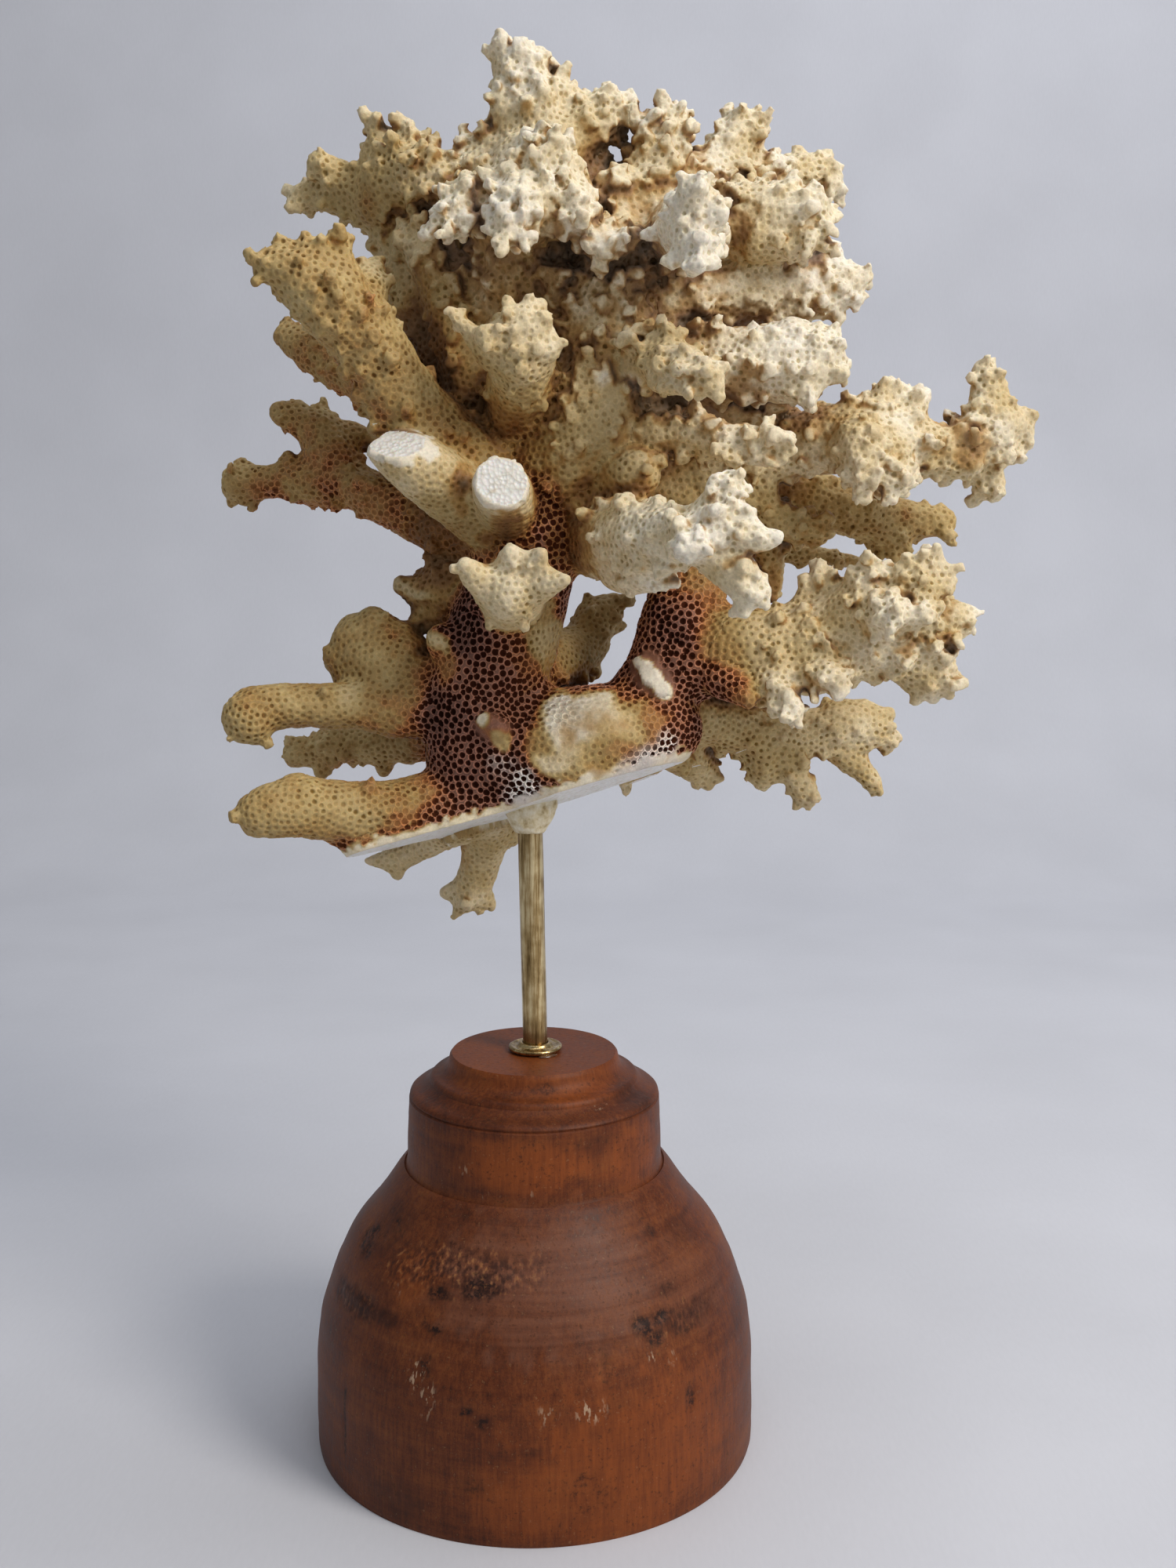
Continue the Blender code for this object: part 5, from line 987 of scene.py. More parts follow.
def weather_and_shade(mesh):
    """Gives the surface its colours and the depth and crispness of its pores: the limbs'
    own tones, the stains, the chalky rims of the saw cuts, and brown dirt with painted shade
    wherever the coral shelters it. Undersides are painted a little darker and tops paler, and
    the holes are painted darker than the walls: painted shade."""
    places, normals = places_of(mesh), normals_of(mesh)
    warp = np.stack([hash_noise(places, 4.5, seed) for seed in (61, 62, 63)], axis=1)
    fine = np.stack([hash_noise(places, 1.6, seed) for seed in (64, 65, 66)], axis=1)
    bend = (warp * 2.2 + fine * 0.8) * MM
    shown = {"tone": values_of(mesh, "tone") + 0.08 * hash_noise(places, 11, 67) + 0.09 * warp[:, 0]
             + 0.05 * fine[:, 0], "dirt_and_shade": DIRT_AND_SHADE * (1 - values_of(mesh, "open")) - 0.28}
    for kind in ("worn", "bleach", "raise", "pits"):
        shown[kind] = np.zeros(len(places))
    for kind, marks in STAINS.items():
        for *seen, radius, wanted, strength in marks:
            centre, swelled = place_on_sight_line((*seen, radius))
            bent = places + bend * min(1, radius / 6)
            if radius < SMALL_STAIN:
                bent[:, 1] += 0.6 * (centre[1] - bent[:, 1])
            weight = np.clip(strength * near(bent, centre / MM, swelled / MM), 0, 1)
            shown[kind] += (wanted - shown[kind]) * weight
    chalk = values_of(mesh, "chalk")
    shown["tone"] *= 1 - 0.85 * chalk
    bare = (1 - values_of(mesh, "sawn")) * (1 - np.clip(shown["worn"] + chalk, 0, 1))
    crevice = values_of(mesh, "crevice")
    # Painted light and shade: faces that look up are a little paler, undersides a little darker
    tone = np.clip(shown["tone"] - 0.04 * normals[:, 2], 0, 1.2)
    # Brown dirt and painted shade: darker and browner where fewer rays run free and deeper in crevices
    dirt_and_shade = shown["dirt_and_shade"] + 0.3 * crevice + 0.15 * warp[:, 1] + 0.1 * fine[:, 1]
    dirt_and_shade, cover = ramp(dirt_and_shade, DIRT_AND_SHADE_COLOURS), 0.85 * smooth(dirt_and_shade, 0, 0.35)[:, None]
    sunny = 0.5 + 0.5 * hash_noise(places, 6, 68)
    tint = 1 - np.outer(sunny * (1 - shown["bleach"]), (0.0, 0.015, 0.09))
    wall = ramp(tone, WALL_COLOURS) * tint
    wall += shown["bleach"][:, None] * (np.array(linear(BLEACHED)) - wall)
    wall += cover * (np.minimum(wall, dirt_and_shade) - wall)
    # The holes' colour is painted shade: darker than the walls, and darker still under dirt and shade
    pit = ramp(tone + shown["pits"], SHADED_PIT_COLOURS) * tint
    pit += cover * (np.minimum(pit, 0.45 * dirt_and_shade) - pit)
    give_values(mesh, "wall", "POINT", wall)
    give_values(mesh, "pit", "POINT", pit)
    sharp = smooth(tone, 0.5, 0.75)
    give_values(mesh, "sharp", "POINT", np.clip(sharp + shown["pits"], 0, 1))
    soft = np.maximum(smooth(hash_noise(places, 5.5, 70), 0, 0.6), smooth(crevice, 0, 0.25))
    soft = 0.45 + 0.2 * smooth(tone, 0.2, 0.45) + 0.35 * soft
    soft *= 1 - 0.8 * smooth(-crevice, 0.1, 0.4)
    give_values(mesh, "deep", "POINT", bare * np.maximum(sharp, soft))
    ruffle = 0.16 * values_of(mesh, "knobby") * hash_noise(places, 0.9, 69) * bare
    move_points(mesh, places + normals * ((shown["raise"] + ruffle) * MM)[:, None])


def islands(count, pairs):
    """A label for each of count items, the same for items joined by pairs."""
    label = np.arange(count)
    a, b = pairs[:, 0], pairs[:, 1]
    while len(a):
        low, high = np.minimum(label[a], label[b]), np.maximum(label[a], label[b])
        apart = low < high
        a, b = a[apart], b[apart]
        label[high[apart]] = low[apart]
        further = label[label]
        while (further != label).any():
            label = further
            further = label[label]
    return label


def neighbour_faces(quads):
    """Pairs of faces that share an edge."""
    ends = np.stack([quads, np.roll(quads, -1, axis=1)], axis=2).reshape(-1, 2)
    low, high = ends.min(axis=1).astype(np.int64), ends.max(axis=1).astype(np.int64)
    key = low * (quads.max() + 1) + high
    order = np.argsort(key, kind="stable")
    same = key[order][1:] == key[order][:-1]
    face = order // 4
    return np.stack([face[:-1][same], face[1:][same]], axis=1)


def piece_numbers(mesh, quads):
    """The number of the piece that each face belongs to, without stray patches, and -1 for
    the crumbs and closed bubbles that the skin leaves loose."""
    names = list(LIMBS)
    of_limb = np.zeros(len(names), int)
    for number, limbs in enumerate(CORAL_PIECES.values()):
        for name in limbs:
            of_limb[names.index(name)] = number
    piece = of_limb[np.round(values_of(mesh, "limb")).astype(int)]
    pairs = neighbour_faces(quads)
    for _ in range(4):
        same = piece[pairs[:, 0]] == piece[pairs[:, 1]]
        label = islands(len(quads), pairs[same])
        size = np.bincount(label, minlength=len(quads))[label]
        small = size < STRAY_FACES
        if not small.any():
            break
        for a, b in (pairs.T, pairs.T[::-1]):
            take = small[a] & ~small[b]
            piece[a[take]] = piece[b[take]]
    body = islands(len(quads), pairs)
    piece[np.bincount(body, minlength=len(quads))[body] < STRAY_FACES] = -1
    return piece


def end_caps(edges, places, normals):
    """Walls that run straight into the coral from each open rim, and fans that close them:
    the triangles, the added points, and how each added point's values come from the rims."""
    numbers, local = np.unique(edges, return_inverse=True)
    local = local.reshape(-1, 2)
    rims, rim = np.unique(islands(len(numbers), local), return_inverse=True)

    def with_middles(array):
        middles = np.zeros((len(rims), *array.shape[1:]))
        np.add.at(middles, rim, array[numbers])
        middles = (middles.T / np.bincount(rim, minlength=len(rims))).T
        return np.concatenate([array[numbers], middles])

    (start, stop), (inner, last) = edges.T, len(places) + local.T
    middle = len(places) + len(numbers) + rim[local[:, 0]]
    triangles = np.concatenate([
        np.stack(corners, axis=1)
        for corners in ((stop, start, inner), (stop, inner, last), (last, inner, middle))])
    return triangles, with_middles(places - RIM_DEPTH * normals), with_middles


def piece_mesh(name, quads, chosen, places, normals, on_points, on_faces, flat):
    """The chosen faces as one closed mesh, with their values."""
    own = quads[chosen]
    starts = own.astype(np.int64).ravel()
    stops = np.roll(own, -1, axis=1).astype(np.int64).ravel()
    span = len(places)
    open_rim = ~np.isin(starts * span + stops, stops * span + starts)
    edges = np.stack([starts[open_rim], stops[open_rim]], axis=1)
    triangles, added, with_middles = end_caps(edges, places, normals)
    used, local = np.unique(own, return_inverse=True)
    local = local.reshape(-1, 4)
    renumber = np.full(span + len(added), -1)
    renumber[used] = np.arange(len(used))
    renumber[span:] = len(used) + np.arange(len(added))
    caps = renumber[triangles]
    mesh = bpy.data.meshes.new(name)
    points = np.concatenate([places[used], added])
    mesh.vertices.add(len(points))
    mesh.vertices.foreach_set("co", points.astype(np.float32).ravel())
    corners = np.concatenate([local.ravel(), caps.ravel()]).astype(np.int32)
    mesh.loops.add(len(corners))
    mesh.loops.foreach_set("vertex_index", corners)
    sizes = np.concatenate([np.full(len(local), 4), np.full(len(caps), 3)])
    mesh.polygons.add(len(sizes))
    first = np.concatenate([[0], np.cumsum(sizes)[:-1]]).astype(np.int32)
    mesh.polygons.foreach_set("loop_start", first)
    mesh.update(calc_edges=True)
    for key, array in on_points.items():
        give_values(mesh, key, "POINT", np.concatenate([array[used], with_middles(array)]))
    for key, array in on_faces.items():
        extra = np.zeros((len(caps), *array.shape[1:]))
        give_values(mesh, key, "FACE", np.concatenate([array[chosen], extra]))
    flat = np.concatenate([flat[chosen], np.ones(len(caps), bool)])
    mesh.polygons.foreach_set("use_smooth", ~flat)
    flat[len(own):] = False
    mesh.polygons.foreach_set("material_index", flat.astype(np.int32))
    mesh.update()
    return mesh


def split_coral(surface):
    """One closed object for each piece of the coral."""
    mesh = surface.data
    places, normals, quads = places_of(mesh), normals_of(mesh), quads_of(mesh)
    piece = piece_numbers(mesh, quads)
    on_points = {name: values_of(mesh, name) for name in ("sharp", "deep")}
    on_points.update({name: values_of(mesh, name, 3) for name in ("wall", "pit", "ground")})
    on_faces = {"pore_size": values_of(mesh, "pore_size"), "pore_mid": values_of(mesh, "pore_mid", 3)}
    flat = (values_of(mesh, "sawn")[quads] > 0.5).all(axis=1)
    for number, (name, limbs) in enumerate(CORAL_PIECES.items()):
        made = piece_mesh(name, quads, piece == number, places, normals, on_points, on_faces, flat)
        obj = put_object(name, made, "pored coral skeleton", "freshly sawn aragonite")
        finished(obj, limbs)


def refined_rings(rings, step):
    """The profile with points at most a step apart, curved between its soft rings."""
    fine = []
    for i in range(len(rings) - 1):
        r1, z1, sharp1 = rings[i]
        r2, z2, sharp2 = rings[i + 1]
        r0, z0 = rings[i - 1][:2] if i and not sharp1 else (r1, z1)
        r3, z3 = rings[i + 2][:2] if i + 2 < len(rings) and not sharp2 else (r2, z2)
        count = max(1, math.ceil(math.hypot(r2 - r1, z2 - z1) / step))
        for k in range(count):
            t = k / count
            a = 2 * t**3 - 3 * t**2 + 1
            b = t**3 - 2 * t**2 + t
            c = 3 * t**2 - 2 * t**3
            d = t**3 - t**2
            radius = r1 * a + (r2 - r0) / 2 * b + r2 * c + (r3 - r1) / 2 * d
            height = z1 * a + (z2 - z0) / 2 * b + z2 * c + (z3 - z1) / 2 * d
            fine.append((radius, height))
    fine.append(rings[-1][:2])
    return fine


def turned_mesh(name, profile, sides, closed=False):
    """A lathe shape from (radius, height) points in millimetres. An end on the axis closes
    to a point, and a closed profile joins its last ring to its first."""
    rings = np.array(profile, float)
    angles = np.arange(sides) * 2 * math.pi / sides
    places, faces, starts = [], [], []
    for radius, height in rings:
        starts.append(len(places))
        if radius == 0:
            places.append((0, 0, height * MM))
            continue
        places += [(radius * MM * math.cos(a), radius * MM * math.sin(a), height * MM) for a in angles]
    last = len(rings) if closed else len(rings) - 1
    for i in range(last):
        j = (i + 1) % len(rings)
        for k in range(sides):
            n = (k + 1) % sides
            if rings[i][0] == 0:
                faces.append((starts[i], starts[j] + n, starts[j] + k))
            elif rings[j][0] == 0:
                faces.append((starts[i] + k, starts[i] + n, starts[j]))
            else:
                faces.append((starts[i] + k, starts[i] + n, starts[j] + n, starts[j] + k))
    mesh = bpy.data.meshes.new(name)
    mesh.from_pydata(places, [], faces)
    mesh.polygons.foreach_set("use_smooth", [True] * len(faces))
    mesh.update()
    return mesh


def hash_noise(places, size, seed):
    """Smooth noise from -1 to 1 with lumps of about the size, in millimetres."""
    grid = places / (size * MM)
    cell = np.floor(grid).astype(np.int64)
    part = grid - cell
    part = part * part * (3 - 2 * part)
    total = np.zeros(len(places))
    for corner in range(8):
        step = np.array([corner & 1, corner >> 1 & 1, corner >> 2 & 1])
        at = cell + step
        mixed = (at[:, 0] * 73856093) ^ (at[:, 1] * 19349663) ^ (at[:, 2] * 83492791)
        mixed = (mixed ^ seed * 2654435761) & 0xFFFFFFFF
        mixed = ((mixed ^ (mixed >> 15)) * 2246822519) & 0xFFFFFFFF
        mixed = ((mixed ^ (mixed >> 13)) * 3266489917) & 0xFFFFFFFF
        value = ((mixed ^ (mixed >> 16)) & 0xFFFF) / 32767.5 - 1
        weight = np.where(step, part, 1 - part).prod(axis=1)
        total += value * weight
    return total


def wood_marks(places):
    """How strongly each kind of mark shows at each place of the wood, from 0 to 1."""
    angle = np.degrees(np.arctan2(places[:, 1], places[:, 0]))
    radius = np.hypot(places[:, 0], places[:, 1]) / MM
    height = places[:, 2] / MM
    ragged = 0.28 * hash_noise(places, 2.4, 5) + 0.18 * hash_noise(places, 1.0, 6)
    shown = {kind: np.zeros(len(places)) for kind in WOOD_MARKS}
    for kind, marks in WOOD_MARKS.items():
        for at, level, half_width, half_height, strength in marks:
            turn = (angle - at + 180) % 360 - 180
            across = np.radians(turn) * radius / half_width
            along = (height - level) / half_height
            away = np.hypot(across, along) + ragged
            weight = np.clip(1.6 - 1.3 * away, 0, 1)
            weight = strength * weight * weight * (3 - 2 * weight)
            shown[kind] = np.maximum(shown[kind], np.where(radius > WOOD_BORE + 0.2, weight, 0))
    turn = np.abs((angle - CRACK[0] + 180) % 360 - 180) * np.radians(1) * radius
    inside = (height > CRACK[1]) & (height < CRACK[2]) & (turn < 0.3)
    shown["stain"][inside & (radius > 40)] = 1
    return shown


def wear_wood(mesh):
    """Tool rings, torn grain, dents and a crack in the turned surface, and its marks."""
    places = places_of(mesh).astype(float)
    shown = wood_marks(places)
    radius = np.maximum(np.hypot(places[:, 0], places[:, 1]), 1e-9)
    height = places[:, 2] / MM
    wall = (radius > 3.2 * MM) & (height > 0.3)
    rings = np.column_stack([np.zeros(len(places)), np.zeros(len(places)), places[:, 2]])
    cut = 0.035 * hash_noise(rings, 1.3, 11) + 0.05 * hash_noise(rings, 4.0, 12)
    dents = 0.10 * hash_noise(places, 14, 13) + 0.03 * hash_noise(places, 4, 14)
    slanted = np.column_stack([places[:, 0] * 1.6, places[:, 1] * 1.6, places[:, 2] * 0.7])
    torn = -0.32 * shown["torn"] * np.clip(hash_noise(slanted, 1.5, 15), 0, 1)
    pits = -0.22 * shown["stain"] * np.clip(0.4 + hash_noise(places, 2.2, 16), 0, 1)
    change = (cut + dents + torn + pits) * MM * wall
    scale = 1 + change / radius
    places[:, 0] *= scale
    places[:, 1] *= scale
    move_points(mesh, places)
    for kind, array in shown.items():
        give_values(mesh, kind, "POINT", array)


def rod_place(height):
    """The rod's axis at a height in millimetres."""
    return Vector((ROD_SIDE + ROD_LEAN * (height - BASE_HEIGHT), 0, height)) * MM


def rod_mesh():
    """A straight drawn rod, faintly dented, that leans as a whole."""
    heights = [ROD_BOTTOM, ROD_BOTTOM + 0.3]
    heights += list(np.linspace(ROD_BOTTOM + 1, ROD_TOP - 1, 90))
    heights += [ROD_TOP - 0.3, ROD_TOP]
    profile = [(ROD_RADIUS, z) for z in heights]
    profile[0] = (ROD_RADIUS - 0.3, ROD_BOTTOM)
    profile[-1] = (ROD_RADIUS - 0.3, ROD_TOP)
    profile = [(0, ROD_BOTTOM), *profile, (0, ROD_TOP)]
    mesh = turned_mesh("brass_rod_finish", profile, ROD_SIDES)
    places = places_of(mesh).astype(float)
    dents = 1 + 0.012 * hash_noise(places, 5, 21)
    places[:, 0] *= dents
    places[:, 1] *= dents
    places[:, 0] += (ROD_SIDE + ROD_LEAN * (places[:, 2] / MM - BASE_HEIGHT)) * MM
    move_points(mesh, places)
    return mesh


def collar_mesh():
    top = [(radius, BASE_HEIGHT + height, False) for radius, height in COLLAR_RINGS]
    profile = refined_rings(top, 0.12)[::-1]
    mesh = turned_mesh("brass_collar_finish", profile, COLLAR_SIDES, closed=True)
    places = places_of(mesh).astype(float)
    places[:, 2] += 0.06 * MM * hash_noise(places, 3, 31)
    places[:, 0] += rod_place(BASE_HEIGHT).x
    move_points(mesh, places)
    return mesh


def filler_mesh():
    """A lumpy smear of filler pressed round the rod under the coral."""
    rings = [(radius, height, False) for radius, height in FILLER_RINGS]
    mesh = turned_mesh("rod_filler_finish", refined_rings(rings, 0.2), FILLER_SIDES,
                       closed=True)
    places = places_of(mesh).astype(float)
    radius = np.hypot(places[:, 0], places[:, 1])
    outer = np.clip((radius / MM - 2.6) / 1.5, 0, 1)
    lumps = outer * (0.55 * hash_noise(places, 2.6, 41) + 0.2 * hash_noise(places, 1.0, 42))
    places[:, 0] *= 1 + lumps * 0.28
    places[:, 1] *= 1 + lumps * 0.28
    places[:, 2] += lumps * 0.5 * MM
    places[:, 0] += rod_place(FILLER_RINGS[4][1]).x
    move_points(mesh, places)
    return mesh


def glue_mesh():
    """A flat bead of glue that has run out from under the collar."""
    shape = bmesh.new()
    bmesh.ops.create_icosphere(shape, subdivisions=4, radius=1)
    for vert in shape.verts:
        turn = math.radians(-58) + vert.co.x * 0.42
        reach = 5.25 + vert.co.y * 0.75
        vert.co = Vector((math.cos(turn) * reach, math.sin(turn) * reach,
                          BASE_HEIGHT + 0.1 + vert.co.z * 0.42)) * MM
        vert.co.x += rod_place(BASE_HEIGHT).x
    bmesh.ops.reverse_faces(shape, faces=shape.faces)
    mesh = bpy.data.meshes.new("glue_bead")
    shape.to_mesh(mesh)
    shape.free()
    places = places_of(mesh).astype(float)
    places[:, 2] += 0.12 * MM * hash_noise(places, 1.4, 51)
    mesh.polygons.foreach_set("use_smooth", [True] * len(mesh.polygons))
    move_points(mesh, places)
    return mesh


def new_material(name, **shader_values):
    """A material with one Principled shader, whose sockets are set by name: what adds a node
    to it, and its shader."""
    material = bpy.data.materials.new(name)
    material.use_nodes = True
    material.node_tree.nodes.clear()
    add = partial(add_node, material.node_tree)
    shader = add("ShaderNodeBsdfPrincipled",
                 {key.replace("_", " "): value for key, value in shader_values.items()})
    add("ShaderNodeOutputMaterial", {"Surface": shader})
    return add, shader


def use(shader, **sources):
    """Feeds the shader's sockets, set by name, from nodes."""
    for key, node in sources.items():
        source = next(out for out in node.outputs if out.enabled)
        shader.id_data.links.new(source, shader.inputs[key.replace("_", " ")])


def coral_material(settings):
    """Coral skeleton: chalky aragonite, dull, with a round hole in every cell painted dark as
    shade, a painted highlight on each hole's rim, and a colour that runs from white tips over
    ochre to maroon stems."""
    add, shader = new_material("pored coral skeleton", Roughness=0.62, IOR=1.53, Subsurface_Weight=0.1,
                               Subsurface_Scale=1.2 * MM)
    kept = {name: add("ShaderNodeAttribute", attribute_name=name)
            for name in ("ground", "pore_mid", "pore_size", "sharp", "deep", "wall", "pit")}
    ground, middle = (kept[name].outputs["Vector"] for name in ("ground", "pore_mid"))
    size, sharp, deep = (kept[name].outputs["Fac"] for name in ("pore_size", "sharp", "deep"))
    away = add("ShaderNodeVectorMath", {0: ground, 1: middle}, operation="DISTANCE")
    wider = add("ShaderNodeMath", {0: sharp, 1: 0.3, 2: 1.1}, operation="MULTIPLY_ADD")
    reach = add("ShaderNodeMath", {0: size, 1: wider}, operation="MULTIPLY")
    reach = add("ShaderNodeMath", {0: reach, 1: settings.pore_radius}, operation="MULTIPLY")
    share = add("ShaderNodeMath", {0: away, 1: reach}, operation="DIVIDE")
    inner = add("ShaderNodeMath", {0: sharp, 1: 0.4, 2: 0.35}, operation="MULTIPLY_ADD")
    hole = add("ShaderNodeMapRange",
               {"Value": share, "From Min": inner, "From Max": 1.1, "To Min": 1.0, "To Max": 0.0},
               interpolation_type="SMOOTHSTEP")
    # Painted highlight: the walls are lighter along each pore's rim and a little darker between the
    # rims
    painted_rim_highlight = add("ShaderNodeMapRange",
              {"Value": share, "From Min": 1.05, "From Max": 1.35, "To Min": 1.0, "To Max": 0.0},
              interpolation_type="SMOOTHSTEP")
    chance = add("ShaderNodeTexWhiteNoise", {"Vector": middle})
    chance = add("ShaderNodeMapRange", {"Value": chance.outputs["Value"], "To Min": 0.3, "To Max": 1.2})
    strength = add("ShaderNodeMath", {0: chance, 1: sharp}, operation="MAXIMUM", use_clamp=True)
    for value in (deep, strength):
        hole = add("ShaderNodeMath", {0: hole, 1: value}, operation="MULTIPLY")
    painted_rim_highlight = add("ShaderNodeMath", {0: painted_rim_highlight, 1: deep}, operation="MULTIPLY")
    gain, least = [add("ShaderNodeMath", {0: sharp, 1: change, 2: start}, operation="MULTIPLY_ADD")
                   for change, start in ((0.95, 0.18), (-0.3, 0.95))]
    painted_rim_highlight = add("ShaderNodeMath", {0: painted_rim_highlight, 1: gain, 2: least}, operation="MULTIPLY_ADD")
    wall = add("ShaderNodeVectorMath", {0: kept["wall"].outputs["Color"], "Scale": painted_rim_highlight},
               operation="SCALE")
    # The holes take the pit colour: painted shade
    colour = add("ShaderNodeMix", {0: hole, 6: wall, 7: kept["pit"].outputs["Color"]}, data_type="RGBA")
    grain = add("ShaderNodeTexNoise",
                {"Vector": ground, "Scale": 1 / (0.5 * MM), "Detail": 3.0, "Roughness": 0.6})
    shade = add("ShaderNodeMapRange",
                {"Value": grain, "From Min": 0.3, "From Max": 0.7, "To Min": 0.86, "To Max": 1.1})
    colour = add("ShaderNodeVectorMath", {0: colour, "Scale": shade}, operation="SCALE")
    low = add("ShaderNodeBump", {"Height": grain, "Distance": 0.12 * MM, "Strength": 0.7})
    rim = add("ShaderNodeMath", {0: hole, 1: -1.0}, operation="MULTIPLY")
    bump = add("ShaderNodeBump", {"Height": rim, "Distance": 0.25 * MM, "Strength": 0.8, "Normal": low})
    sheen = add("ShaderNodeMath", {0: hole, 1: -0.35, 2: 0.35}, operation="MULTIPLY_ADD")
    use(shader, Base_Color=colour, Specular_IOR_Level=sheen, Normal=bump)


def sawn_material():
    """Freshly sawn aragonite: sugary white crystals that glint a little."""
    add, shader = new_material("freshly sawn aragonite", Roughness=0.4, IOR=1.6, Subsurface_Weight=0.2,
                               Subsurface_Scale=1.5 * MM)
    place = add("ShaderNodeTexCoord").outputs["Object"]
    cells = add("ShaderNodeTexVoronoi", {"Vector": place, "Scale": 1 / (0.8 * MM)})
    cloud = add("ShaderNodeTexNoise", {"Vector": place, "Scale": 1 / (2.5 * MM), "Detail": 4.0})
    both = add("ShaderNodeMath", {0: cells, 1: cloud}, operation="MULTIPLY")
    white = add("ShaderNodeValToRGB", {"Fac": both},
                stops=[(0.0, "f1f0ec"), (0.25, "e9e6dd"), (0.6, "cfc6b0")])
    bump = add("ShaderNodeBump", {"Height": both, "Distance": 0.4 * MM})
    use(shader, Base_Color=white, Normal=bump)


def wood_material():
    """Turned hardwood, stained and waxed: reddish brown, satin, with a soft grey-brown painted
    sheen on the dome, dark stains, and bare pale flecks where it was chipped."""
    add, shader = new_material("turned stained hardwood", IOR=1.5, Specular_IOR_Level=0.22)
    place = add("ShaderNodeTexCoord").outputs["Object"]
    upright, level, chipped = (
        add("ShaderNodeMapping", {"Vector": place, "Scale": scale, "Rotation": rotation})
        for scale, rotation in (((1, 1, 0.08), (0, 0, 0)), ((0.03, 0.03, 1), (0, 0, 0)),
                                ((1, 1, 0.4), (0.3, 0.4, 0))))
    mottle, cloud, streak, ring, speck, ripple, chips = (
        add("ShaderNodeTexNoise", {"Vector": vector, "Scale": 1 / (size * MM),
                                   "Detail": detail, "Roughness": roughness})
        for vector, size, detail, roughness in (
            (place, 16, 3, 0.55), (place, 4, 3, 0.6), (upright, 0.7, 4, 0.65),
            (level, 2.2, 3, 0.6), (place, 0.9, 3, 0.7), (upright, 0.9, 2, 0.5),
            (chipped, 0.7, 2, 0.5)))
    tone = 0.0
    for value, amount in ((mottle, 0.24), (cloud, 0.1), (streak, 0.26), (ring, 0.18), (speck, 0.34)):
        tone = add("ShaderNodeMath", {0: value, 1: amount, 2: tone}, operation="MULTIPLY_ADD")
    colour = add("ShaderNodeMapRange", {"Value": tone, "From Min": 0.42, "From Max": 0.74})
    colour = add("ShaderNodeValToRGB", {"Fac": colour},
                 stops=[(0.0, "35170a"), (0.35, "5a2b13"), (0.65, "733d1c"), (1.0, "8f572b")])
    marks = {name: add("ShaderNodeAttribute", attribute_name=name).outputs["Fac"]
             for name in ("orange", "painted_sheen", "torn", "stain", "fleck")}
    # Each layer: its mark, the noise that breaks it up, between which values, how strong
    # from there to there, and its colour
    for mark, pattern, low, high, start, stop, paint in (
            (marks["orange"], streak, 0.25, 0.7, 0.3, 0.8, "8f481a"),
            # The painted sheen's layer
            (marks["painted_sheen"], ring, 0.3, 0.65, 0.1, 0.6, "7d5543"),
            (1.0, speck, 0.55, 0.68, 0.0, 0.6, "2c140b"),
            (1.0, speck, 0.38, 0.28, 0.0, 0.25, "b98558"),
            (marks["torn"], ripple, 0.45, 0.62, 0.0, 0.75, "2a130b"),
            (marks["torn"], ripple, 0.42, 0.3, 0.0, 0.5, "b27a48"),
            (marks["stain"], speck, 0.42, 0.56, 0.25, 1.0, "231009"),
            (marks["fleck"], chips, 0.55, 0.64, 0.0, 0.75, "bda184")):
        share = add("ShaderNodeMapRange",
                    {"Value": pattern, "From Min": low, "From Max": high, "To Min": start,
                     "To Max": stop})
        share = add("ShaderNodeMath", {0: share, 1: mark}, operation="MULTIPLY")
        colour = add("ShaderNodeMix", {0: share, 6: colour, 7: paint}, data_type="RGBA")
    rough = add("ShaderNodeMapRange",
                {"Value": tone, "From Min": 0.4, "From Max": 0.7, "To Min": 0.42, "To Max": 0.58})
    bump = None
    for height, distance in ((ring, 0.05), (speck, 0.08), (streak, 0.04)):
        links = {"Height": height, "Distance": distance * MM, "Strength": 0.6}
        bump = add("ShaderNodeBump", {**links, "Normal": bump} if bump else links)
    use(shader, Base_Color=colour, Roughness=rough, Normal=bump)


def brass_material(name, stretch, dark, middle, bright):
    """Unpolished brass: yellow metal dulled to ochre, with streaks where hands and weather
    have left it brighter or darker."""
    add, shader = new_material(name, Metallic=1.0)
    place = add("ShaderNodeTexCoord").outputs["Object"]
    drawn = add("ShaderNodeMapping", {"Vector": place, "Scale": (1, 1, stretch)})
    streak = add("ShaderNodeTexNoise",
                 {"Vector": drawn, "Scale": 1 / (0.7 * MM), "Detail": 4.0, "Roughness": 0.65})
    cloud = add("ShaderNodeTexNoise", {"Vector": place, "Scale": 1 / (5 * MM), "Detail": 3.0})
    tone = add("ShaderNodeMath", {0: streak, 1: 1.5, 2: cloud}, operation="MULTIPLY_ADD")
    colour = add("ShaderNodeMapRange", {"Value": tone, "From Min": 0.95, "From Max": 1.55})
    rough = add("ShaderNodeMapRange",
                {"Value": tone, "From Min": 0.95, "From Max": 1.55, "To Min": 0.36, "To Max": 0.18})
    colour = add("ShaderNodeValToRGB", {"Fac": colour},
                 stops=[(0.0, dark), (0.5, middle), (1.0, bright)])
    bump = add("ShaderNodeBump", {"Height": streak, "Distance": 0.03 * MM, "Strength": 0.6})
    use(shader, Base_Color=colour, Roughness=rough, Normal=bump)


